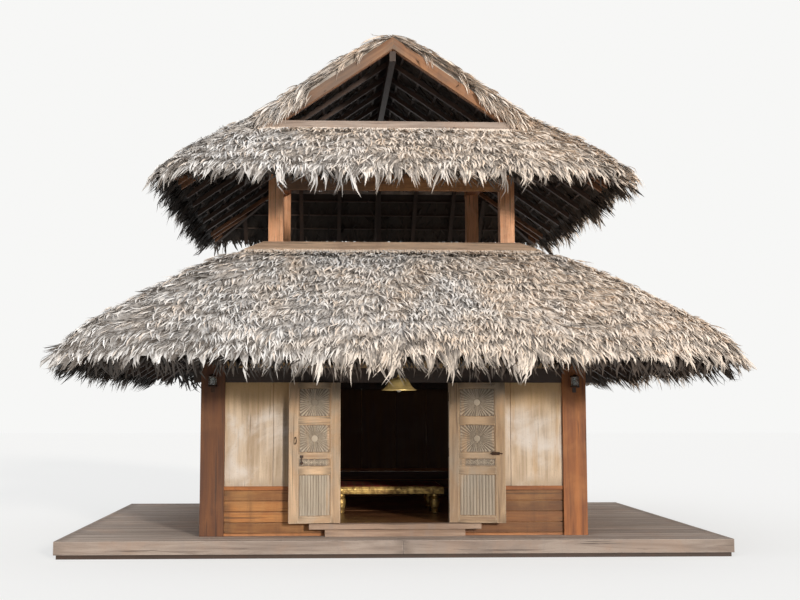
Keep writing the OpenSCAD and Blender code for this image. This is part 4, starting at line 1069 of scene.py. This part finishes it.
# Walls: horizontal boards below the rail, wide upright planks above it
wallPlan = {"front": (-2.36, -2.305), "rear": (2.305, 2.36), "x": (-2.11, 2.11), "y": (-2.105, 2.105),
            "low": (0.24, 0.767), "courses": 4, "gap": 0.013, "middle": (0.815, 2.1), "high": (2.28, 3.117),
            "sideHigh": (2.28, 2.967), "highCuts": (0.12, 0.25, 0.37, 0.5, 0.63, 0.75, 0.88)}


def addTongue(boards, x, y, z, half):
    # a thin board inside the wall, which shows in its joints
    (x0, x1), (y0, y1), (z0, z1) = x, y, z
    if x1 - x0 > y1 - y0:
        middle = (y0 + y1) / 2
        return [*boards, (x0 + 0.002, middle - half, z0 + 0.002, x1 - 0.002, middle + half, z1 - 0.002)]
    middle = (x0 + x1) / 2
    return [*boards, (middle - half, y0 + 0.002, z0 + 0.002, middle + half, y1 - 0.002, z1 - 0.002)]


def courseBoards(x, y):
    z, gap = wallPlan["low"], wallPlan["gap"] / 2
    edges = np.linspace(*z, wallPlan["courses"] + 1)
    boards = [(x[0], y[0], a + gap, x[1], y[1], b - gap) for a, b in zip(edges, edges[1:])]
    return addTongue(boards, x, y, z, 0.008)


def plankRow(x, y, z, cuts):
    # upright planks, cut at the given shares of the wall's length
    shares = np.array([0, *cuts, 1])
    if x[1] - x[0] > y[1] - y[0]:
        edges = x[0] + (x[1] - x[0]) * shares
        planks = [(a + 0.002, y[0], z[0], b - 0.002, y[1], z[1]) for a, b in zip(edges, edges[1:])]
    else:
        edges = y[0] + (y[1] - y[0]) * shares
        planks = [(x[0], a + 0.002, z[0], x[1], b - 0.002, z[1]) for a, b in zip(edges, edges[1:])]
    return addTongue(planks, x, y, z, 0.01)


front, rear, wallX, wallY = (wallPlan[part] for part in ("front", "rear", "x", "y"))
middle, high, highCuts = (wallPlan[part] for part in ("middle", "high", "highCuts"))
alongX, alongY, frontPlanks, wallPlanks = [], [], [], []
for side, cuts in ((-1, (0.44,)), (1, (0.52,))):
    beside = span(side, 0.748, 2.11)
    alongX += courseBoards(beside, front)
    frontPlanks += plankRow(beside, front, middle, cuts)
    wallSide = span(side, 2.365, 2.31)
    alongY += courseBoards(wallSide, wallY)
    wallPlanks += plankRow(wallSide, wallY, middle, (0.1, 0.21, 0.34, 0.45, 0.58, 0.68, 0.79, 0.9))
    wallPlanks += plankRow(wallSide, wallY, wallPlan["sideHigh"], highCuts)
alongX += courseBoards(wallX, rear)
wallPlanks += plankRow(wallX, rear, middle, (0.11, 0.2, 0.33, 0.44, 0.57, 0.69, 0.8, 0.9))
wallPlanks += plankRow(wallX, rear, high, highCuts)
finishBoards("lowerBoardsEnds", alongX, woods["dadoWood"], ["lower_boards"], "hardwood", seed=31)
finishBoards("lowerBoardsSides", alongY, woods["dadoWood"], slot="hardwood", along="y", seed=32)
overDoor = plankRow(wallX, front, high, highCuts)
for name, planks, node, seed in (("frontPlanks", frontPlanks, "front_panels", 41),
                                 ("overDoorPlanks", overDoor, "over_door_panel", 42),
                                 ("wallPlanks", wallPlanks, "wall_panels", 43)):
    finishBoards(name, planks, woods["palePlanks"], [node], "pale_wood", along="z", seed=seed)
print("walls boarded")

# Floor boards of the room, notched round the corner posts, and one in the doorway
floorPlan = {"rows": 33, "y": 2.305, "under": 0.33, "top": 0.365}
boards = []
edges = np.linspace(-floorPlan["y"], floorPlan["y"], floorPlan["rows"] + 1)
for y0, y1 in zip(edges, edges[1:]):
    near, far = sorted((abs(y0), abs(y1)))
    x = 2.11 if near > 2.0 or far > 2.105 else 2.31
    boards.append((-x, y0 + 0.001, floorPlan["under"], x, y1 - 0.001, floorPlan["top"]))
boards.append((-0.678, -2.36, floorPlan["under"], 0.678, -2.306, floorPlan["top"]))
finishBoards("floorBoards", boards, woods["floorWood"], ["room_floor"], "hardwood", bevel=0.002, seed=51)


def metalMaterial(name, look):
    material, tree, shader = startMaterial(name)
    place = tree.place()
    broad = tree.noise(place, look["scale"], 4, 0.6, 0.4)
    fine = tree.noise(place, look["scale"] * 14, 3, 0.6)
    share = tree.spread(tree.calc("ADD", tree.times(broad, 0.7), tree.times(fine, 0.3)), 0.38, 0.62)
    rough = tree.calc("MULTIPLY_ADD", share, look["roughSpread"], look["rough"])
    tree.paint(shader, tree.mix(share, look["first"], look["second"]), rough, fine, look["bump"], 0.002)
    shader.inputs["Metallic"].default_value = look["metal"]
    return material


def glassMaterial(name, colour, rough, clear):
    material, tree, shader = startMaterial(name)
    dust = tree.spread(tree.noise(tree.place(), 30, 3, 0.6), 0.4, 0.7)
    tree.fill(shader.inputs, {
        "Base Color": tree.mix(tree.times(dust, 0.25), colour, (0.7, 0.66, 0.58)),
        "Roughness": tree.calc("MULTIPLY_ADD", dust, 0.25, rough),
        "Transmission Weight": clear, "IOR": 1.45})
    return material


iron = metalMaterial("darkIron", {"scale": 14, "first": (0.035, 0.03, 0.028), "second": (0.12, 0.065, 0.04),
                                  "rough": 0.5, "roughSpread": 0.3, "metal": 0.8, "bump": 0.4})
brass = metalMaterial("agedBrass", {"scale": 9, "first": (0.86, 0.66, 0.27), "second": (0.66, 0.48, 0.19),
                                    "rough": 0.38, "roughSpread": 0.2, "metal": 0.6, "bump": 0.12})
gilt = metalMaterial("oldGilt", {"scale": 16, "first": (0.72, 0.50, 0.17), "second": (0.30, 0.18, 0.07),
                                 "rough": 0.34, "roughSpread": 0.3, "metal": 0.75, "bump": 0.3})
clearGlass = glassMaterial("jarGlass", (0.93, 0.96, 0.94), 0.05, 0.9)
bulbGlass = glassMaterial("bulbGlass", (0.95, 0.93, 0.88), 0.25, 0.2)
for node in ("door_left_fittings", "door_right_fittings", "door_left_hinges", "door_right_hinges",
             "hinge_pins"):
    paintNode(node, iron)
paintNode("daybed", gilt)

# Carving: one rounded bar is modelled, and rays, reeds, petals, beads and mouldings are its copies
barPoints, barFaces = takeShape(newSlab(6, 4))


def layBars(name, bars, face):
    # each bar: x and z of its two ends, its half widths there and its height above the plane y = face
    bars = np.array(bars, float)
    start, run = bars[:, None, 0:2], bars[:, None, 2:4] - bars[:, None, 0:2]
    aside = np.stack([-run[..., 1], run[..., 0]], -1) / np.linalg.norm(run, axis=-1)[..., None]
    u, v = (barPoints[:, 0] + 1) / 2, barPoints[:, 1]
    half = bars[:, 4, None] * (1 - u) + bars[:, 5, None] * u
    plan = start + run * u[None, :, None] + aside * (half * v)[..., None]
    ends = np.sqrt(np.clip(np.minimum(u, 1 - u) * 7 + 0.12, 0, 1))
    rise = bars[:, 6, None] * np.sqrt(1 - 0.92 * v ** 2) * ends
    outs = face + np.where(barPoints[:, 2] > 0.5, rise, -0.003)
    points = np.stack([plan[..., 0], outs, plan[..., 1]], -1)
    thing = layCopies(name, barFaces, points, {
        "boardPlace": points[..., [2, 0, 1]], "boardHalf": np.full(points.shape, 4.0),
        "boardTone": np.repeat(np.linspace(0.2, 0.8, len(bars))[:, None], len(barPoints), 1)}, smooth=True)
    enterEdit(thing)
    turnOutwards()
    leaveEdit()
    smoothByAngle(thing, 50)
    return thing


def spinProfile(name, profile, steps=32, at=(0, 0, 0)):
    # a closed outline of radii and heights, turned round Z
    clearSelection()
    bpy.ops.mesh.primitive_circle_add(vertices=len(profile), radius=1)
    thing = bpy.context.object
    thing.name = name
    setPoints(thing, np.array([(radius, 0, height) for radius, height in profile]))
    enterEdit(thing)
    bpy.ops.mesh.spin(steps=steps, angle=2 * math.pi, center=(0, 0, 0), axis=(0, 0, 1))
    bpy.ops.mesh.select_all(action="SELECT")
    bpy.ops.mesh.remove_doubles(threshold=0.00002)
    bpy.ops.mesh.delete_loose(use_verts=True, use_edges=True, use_faces=False)
    turnOutwards()
    leaveEdit()
    smoothByAngle(thing, 40)
    return movePoints(thing, Matrix.Translation(at))


# Carved door leaves, drawn closed with the hinge on Z and the free edge towards +X

leafPlan = {
    "hinge": (0.678, -2.39, 0), "lean": 10, "start": 0.006, "outer": 0.005, "inner": 0.05, "foot": 0.373,
    "top": 2.094, "stile": 0.118, "sunk": 0.013, "joint": 0.0004,
    "panels": ((0.454, 0.969), (1.060, 1.166), (1.2297, 1.5797), (1.6707, 2.0300)),
    "rays": 36, "middle": 0.04, "rayRise": 0.008, "rayShare": 0.31, "margin": 0.016,
    "reeds": 11, "reedRise": 0.008, "bead": 0.0055, "beadRise": 0.0095, "petals": 8, "flowers": 5,
    "pearlPitch": 0.0145, "pearlIn": 0.0155, "pearl": 0.0036,
}


def spokes(centre, number, first, reachAt):
    # bars round a centre; reachAt takes a spoke's direction and gives where it starts and ends,
    # its half widths there and its height
    bars = []
    x, z = centre
    for i in range(number):
        angle = (i + first) * math.pi * 2 / number
        c, d = math.cos(angle), math.sin(angle)
        near, far, *rest = reachAt(c, d)
        bars.append((x + c * near, z + d * near, x + c * far, z + d * far, *rest))
    return bars


def sunburst(centre, halfWide, halfHigh):
    # rays widen outwards from a round middle up to the panel's edges
    near = leafPlan["middle"] + 0.008
    share = math.pi * 2 / leafPlan["rays"] * leafPlan["rayShare"]

    def reachAt(c, d):
        far = min(halfWide / max(abs(c), 1e-6), halfHigh / max(abs(d), 1e-6))
        return near, far, near * share, far * share, leafPlan["rayRise"]

    return spokes(centre, leafPlan["rays"], 0.5, reachAt)


def flower(centre, reach):
    petal = (reach * 0.25, reach, reach * 0.09, reach * 0.26, 0.007)
    return spokes(centre, leafPlan["petals"], 0, lambda c, d: petal)


def dome(centre, radius, rise, face):
    profile = [(0, -0.003), (radius, -0.003), (radius, rise * 0.3), (radius * 0.86, rise * 0.62),
               (radius * 0.8, rise * 0.55), (radius * 0.55, rise * 0.86), (0, rise)]
    middle = spinProfile("leafDome", profile, 24)
    upright = Matrix.Rotation(-math.pi / 2, 4, "X")
    movePoints(middle, Matrix.Translation((centre[0], face, centre[1])) @ upright)
    markPoints(middle.data, "boardPlace", (centre[1], centre[0], 0), vector=True)
    markPoints(middle.data, "boardHalf", (4, 4, 4), vector=True)
    markPoints(middle.data, "boardTone", 0.5)
    return middle


def carvedLeaf(name, width, side, body, node, seed):
    plan = leafPlan
    x0, x1 = plan["start"], plan["start"] + width
    a, b = x0 + plan["stile"], x1 - plan["stile"]
    y0, y1 = plan["outer"], plan["inner"]
    low, high = y0 + plan["sunk"], y1 - plan["sunk"]
    joint, bead, rise = plan["joint"], plan["bead"], plan["beadRise"]
    middle = (a + b) / 2
    foot, top = plan["foot"], plan["top"]
    edges = [foot, *[z for panel in plan["panels"] for z in panel], top]
    stiles = [(x0, y0, foot, a - joint, y1, top), (b + joint, y0, foot, x1, y1, top)]
    rails = [(a + joint, y0 + 0.0006, z0, b - joint, y1 - 0.0006, z1)
             for z0, z1 in zip(edges[::2], edges[1::2])]
    sunk, bars, mouldings, pearls, domes = [], [], [], [], []
    for z0, z1 in plan["panels"]:
        for p, q in ((a - 0.003, middle - 0.0006), (middle + 0.0006, b + 0.003)):
            sunk.append((p, low, z0 - 0.003, q, high, z1 + 0.003))
        sunk.append((middle - 0.01, low + 0.003, z0, middle + 0.01, high - 0.003, z1))
        mouldings += [(a, z, b, z, bead, bead, rise) for z in (z0 + bead, z1 - bead)]
        mouldings += [(x, z0, x, z1, bead, bead, rise) for x in (a + bead, b - bead)]
    reeded, narrow, burst, topBurst = plan["panels"]
    pitch = (b - a - 2 * plan["margin"]) / plan["reeds"]
    for i in range(plan["reeds"]):
        x = a + plan["margin"] + (i + 0.5) * pitch
        bars.append((x, reeded[0] + 0.014, x, reeded[1] - 0.014, pitch * 0.4, pitch * 0.4, plan["reedRise"]))
    for z0, z1 in (burst, topBurst):
        centre = (middle, (z0 + z1) / 2)
        bars += sunburst(centre, (b - a) / 2 - plan["margin"] - 0.006, (z1 - z0) / 2 - plan["margin"])
        domes.append(dome(centre, plan["middle"], plan["rayRise"] + 0.002, high))
        # pearls down both sides of the panel
        count = int((z1 - z0 - 0.03) / plan["pearlPitch"])
        for i in range(count):
            z = z0 + 0.015 + (i + 0.5) * (z1 - z0 - 0.03) / count
            for x in (a + plan["pearlIn"], b - plan["pearlIn"]):
                pearls.append((x, z - 0.0045, x, z + 0.0045, plan["pearl"], plan["pearl"], 0.006))
    centreZ = sum(narrow) / 2
    step = (b - a - 0.11) / (plan["flowers"] - 1)
    for i in range(plan["flowers"]):
        x = middle + (i - (plan["flowers"] - 1) / 2) * step
        bars += flower((x, centreZ), 0.034)
        domes.append(dome((x, centreZ), 0.011, 0.008, high))
        if i:
            x -= step / 2
            bars += [(x, centreZ + off, x, centreZ, 0.001, 0.009, 0.006) for off in (-0.03, 0.03)]
    back = layBars("leafBackMouldings", mouldings, high)
    movePoints(back, Matrix.Translation((0, low + high, 0)) @ Matrix.Scale(-1, 4, (0, 1, 0)))
    parts = (
        (layBoards(name, stiles, along="z", wander=0, seed=seed), "leafWood"),
        (layBoards("leafRails", rails, bevel=0.003, wander=0, seed=seed + 1), "leafWood"),
        (layBoards("leafPanels", sunk, bevel=0.0015, along="z", wander=0, seed=seed + 2), "sunkLeafWood"),
        (layBars("leafCarving", bars, high), "carvedLeafWood"),
        (layBars("leafMouldings", mouldings + pearls, high), "leafWood"), (back, "leafWood"),
        *[(one, "carvedLeafWood") for one in domes])
    for piece, wood in parts:
        piece.data.materials.append(woods[wood])
    leaf = joinPieces(name, [piece for piece, wood in parts])
    swing = Matrix.Rotation(-math.radians(180 - plan["lean"]), 4, "Z")
    x, y, z = plan["hinge"]
    movePoints(leaf, Matrix.Translation((x * side, y, z)) @ Matrix.Scale(-side, 4, (1, 0, 0)) @ swing)
    finishPiece(leaf, body=body, replaced=[node])
    print(name, "carved,", len(leaf.data.polygons), "faces")


carvedLeaf("leftDoorLeaf", 0.644, -1, "left_door", "door_left", 61)
carvedLeaf("rightDoorLeaf", 0.694, 1, "right_door", "door_right", 65)

# Bell lamp on its rod, and its bulb
lampPlan = {"y": -3.25, "rim": 1.985, "wide": 0.2035, "high": 0.15, "wall": 0.003, "rod": 0.008}
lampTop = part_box("bell_lamp")[1][2]
lampRim = (0, lampPlan["y"], lampPlan["rim"])
wide, tall, wall = lampPlan["wide"], lampPlan["high"], lampPlan["wall"]
bellShape = [(1.0, 0.0), (1.0, 0.045), (0.955, 0.075), (0.87, 0.16), (0.77, 0.29), (0.68, 0.45),
             (0.615, 0.62), (0.56, 0.78), (0.47, 0.90), (0.32, 0.97), (0.10, 1.0)]
outerBell = [(r * wide, z * tall) for r, z in bellShape]
innerBell = [(max(r * wide - wall, 0.004), z * tall - (wall if z > 0.05 else 0))
             for r, z in reversed(bellShape)]
neck = lampTop - lampPlan["rim"] - 0.10
rodShape = [(0, 0.142), (0.022, 0.142), (0.025, 0.15), (0.022, 0.158), (0.017, 0.163), (0.02, 0.175),
            (0.014, 0.186), (lampPlan["rod"], 0.2), (lampPlan["rod"], neck), (0, neck)]
rimShape = [(0.1995 + 0.004 * math.cos(a), 0.004 + 0.004 * math.sin(a))
            for a in np.linspace(0, 2 * math.pi, 9)[:-1]]
lampParts = [spinProfile("bellShade", outerBell + innerBell, 64, lampRim),
             spinProfile("lampRod", rodShape, 24, lampRim), spinProfile("rimBead", rimShape, 64, lampRim)]
finishPiece(joinPieces("bellLamp", lampParts), brass, replaced=["bell_lamp"])
block = (-0.03, lampPlan["y"] - 0.03, lampTop - 0.11, 0.03, lampPlan["y"] + 0.03, lampTop - 0.001)
finishBoards("lampBlock", [block], woods["battenWood"], along="z", seed=71)
bulbShape = [(0, -0.032), (0.012, -0.030), (0.022, -0.023), (0.030, -0.010), (0.032, 0.0), (0.030, 0.012),
             (0.024, 0.023), (0.016, 0.034), (0.013, 0.046), (0.013, 0.10), (0, 0.10)]
bulb = spinProfile("lampBulb", bulbShape, 32, (0, lampPlan["y"], lampPlan["rim"] + 0.010))
finishPiece(bulb, bulbGlass, replaced=["lamp_bulb"])

# Jar lanterns on arms in front of the front corner posts
lanternPlan = {"x": 2.2575, "y": -2.465, "foot": 2.035, "r": 0.06, "high": 0.13}
r, h = lanternPlan["r"], lanternPlan["high"]
baseShape = [(0, 0), (r * 0.72, 0), (r * 0.8, 0.004), (r, 0.008), (r, 0.018), (r * 0.93, 0.023),
             (r * 0.88, 0.026), (0, 0.026)]
capShape = [(0, h), (r * 0.96, h), (r, h + 0.003), (r, h + 0.007), (r * 0.9, h + 0.011),
            (r * 0.62, h + 0.018), (r * 0.42, h + 0.025), (r * 0.3, h + 0.03), (r * 0.2, h + 0.034),
            (0, h + 0.034)]
stickShape = [(0, 0.013), (0.003, 0.013), (0.003, h + 0.002), (0, h + 0.002)]
jarShape = [(0, 0.0262), (r - 0.010, 0.0262), (r - 0.008, 0.030), (r - 0.008, h - 0.022),
            (r - 0.012, h - 0.010), (r - 0.012, h - 0.0005), (r - 0.016, h - 0.0005), (r - 0.016, h - 0.012),
            (r - 0.012, h - 0.024), (r - 0.012, 0.034), (0, 0.032)]
armBoards = [(-0.016, 0, 0.002, 0.016, r + 0.004, 0.020), (-0.024, r - 0.0004, -0.06, 0.024, r + 0.0046, h)]
ironParts, jars = [], []
for side in (-1, 1):
    pieces = [spinProfile("lanternBase", baseShape), spinProfile("lanternCap", capShape)]
    for angle in np.radians((45, 135, 225, 315)):
        at = ((r - 0.004) * math.cos(angle), (r - 0.004) * math.sin(angle), 0)
        pieces.append(spinProfile("cageRod", stickShape, 10, at))
    pieces.append(layBoards("lanternArm", armBoards, bevel=0.0015, along="z", wander=0))
    jars.append(spinProfile("jar", jarShape))
    spot = Matrix.Translation((side * lanternPlan["x"], lanternPlan["y"], lanternPlan["foot"]))
    for piece in (*pieces, jars[-1]):
        movePoints(piece, spot)
    ironParts += pieces
finishPiece(joinPieces("lanternIron", ironParts), iron, replaced=["lantern_frames"])
finishPiece(joinPieces("lanternJars", jars), clearGlass, replaced=["lantern_glass"])
print("lamp and lanterns hung")

# Daybed: a carved band on its gilt rail, and a thin quilted mat
bedPlan = {"half": (0.76, 0.55), "centre": -0.35, "reach": (0.9, 0.76, 0.2, 0.76), "rail": (0.62, 0.715),
           "diamonds": 17}
z0, z1 = bedPlan["rail"]
middle = (z0 + z1) / 2 + 0.002
bands = []
for turn, reach in enumerate(bedPlan["reach"]):
    half = bedPlan["half"][turn % 2]
    bars = [(-half + 0.002, z, half - 0.002, z, 0.005, 0.005, 0.005)
            for z in (z0 + 0.008, z0 + 0.022, z1 - 0.018, z1 - 0.007)]
    count = round(bedPlan["diamonds"] * half / bedPlan["half"][0])
    for i in range(count):
        x = (i + 0.5) / count * 2 * half - half
        wide = half / count
        bars += [(x + side * wide * 0.92, middle, x, middle, 0.001, 0.02, 0.005) for side in (-1, 1)]
    outwards = Matrix.Rotation(math.pi + turn * math.pi / 2, 4, "Z") @ Matrix.Translation((0, reach, 0))
    centre = Matrix.Translation((0, bedPlan["centre"] * (turn % 2), 0))
    bands.append(movePoints(layBars("bedBand", bars, 0.0), centre @ outwards))
finishPiece(joinPieces("daybedCarving", bands), gilt)

mat = newSlab(72, 52)
mat.name = "quiltedMat"
u, v, level = pointsOf(mat).T
x, y = u * 0.743, v * 0.533
rolled = (1 - np.abs(u) ** 30) * (1 - np.abs(v) ** 22)
seams = [np.exp(-((way / pitch - np.round(way / pitch)) * sharp) ** 2)
         for way, pitch, sharp in ((x, 0.186, 16), (y, 0.178, 14))]
sewn = 0.0035 * np.maximum(*seams)
upper = 0.7195 + 0.015 * np.sqrt(rolled) - sewn * rolled + 0.0007 * np.sin(x * 31 + y * 17) * rolled
setPoints(mat, np.stack([x, y + bedPlan["centre"], np.where(level > 0.5, upper, 0.7155)], 1))
mat.data.shade_smooth()

clothLook = {"threads": 1600, "bands": 52, "dark": (0.07, 0.012, 0.010), "light": (0.16, 0.03, 0.02),
             "band": (0.10, 0.05, 0.02)}
redCloth, tree, shader = startMaterial("darkRedCloth")
place = tree.place()
x, y, z = tree.split(place)
warp, weft, bands = [tree.calc("SINE", tree.times(way, clothLook[part]))
                     for way, part in ((x, "threads"), (y, "threads"), (x, "bands"))]
weave = tree.times(warp, weft)
worn = tree.spread(tree.noise(place, 5.0, 4, 0.6, 0.3), 0.35, 0.65)
colour = tree.mix(worn, clothLook["dark"], clothLook["light"])
colour = tree.cover(colour, clothLook["band"], 0.6, tree.spread(bands, 0.55, 0.75))
colour = tree.cover(colour, clothLook["dark"], 0.3, tree.spread(weave, -0.2, 1.0))
tree.paint(shader, colour, 0.9, weave, 0.4, 0.001)
shader.inputs["Specular IOR Level"].default_value = 0.15
finishPiece(mat, redCloth, replaced=["daybed_mattress"])
print("daybed dressed")

# Studio: even light from a pale room, whose colour only what looks at it sees, and a pale floor
world = bpy.data.worlds.new("studioRoom")
scene.world = world
world.use_nodes = True
world.node_tree.nodes.clear()
tree = ShaderTree(world.node_tree)
room = tree.put("Background", {"Color": (1, 1, 1), "Strength": 0.5}).outputs[0]
backdrop = tree.put("Background", {"Color": (0.93, 0.93, 0.92), "Strength": 1.0}).outputs[0]
worldMix = tree.put("MixShader", {0: tree.seen(), 1: room, 2: backdrop}).outputs[0]
tree.put("OutputWorld", {"Surface": worldMix})

clearSelection()
bpy.ops.mesh.primitive_plane_add(size=160, location=(0, 0, 0))
studioFloor = bpy.context.object
studioFloor.name = "studioFloor"
floorPaint, tree, shader = startMaterial("studioFloorPaint")
tree.fill(shader.inputs, {"Base Color": (0.93, 0.925, 0.92), "Roughness": 0.9})
paleGlow = tree.put("Emission", {"Color": (0.93, 0.93, 0.92), "Strength": 1.07}).outputs[0]
paleFloor = tree.put("MixShader", {0: 0.55, 1: shader.outputs[0], 2: paleGlow}).outputs[0]
bounce = tree.put("BsdfDiffuse", {"Color": (0.28, 0.27, 0.25)}).outputs[0]
floorMix = tree.put("MixShader", {0: tree.seen(), 1: bounce, 2: paleFloor}).outputs[0]
tree.fill(tree.tree.nodes["Material Output"].inputs, {"Surface": floorMix})
studioFloor.data.materials.append(floorPaint)
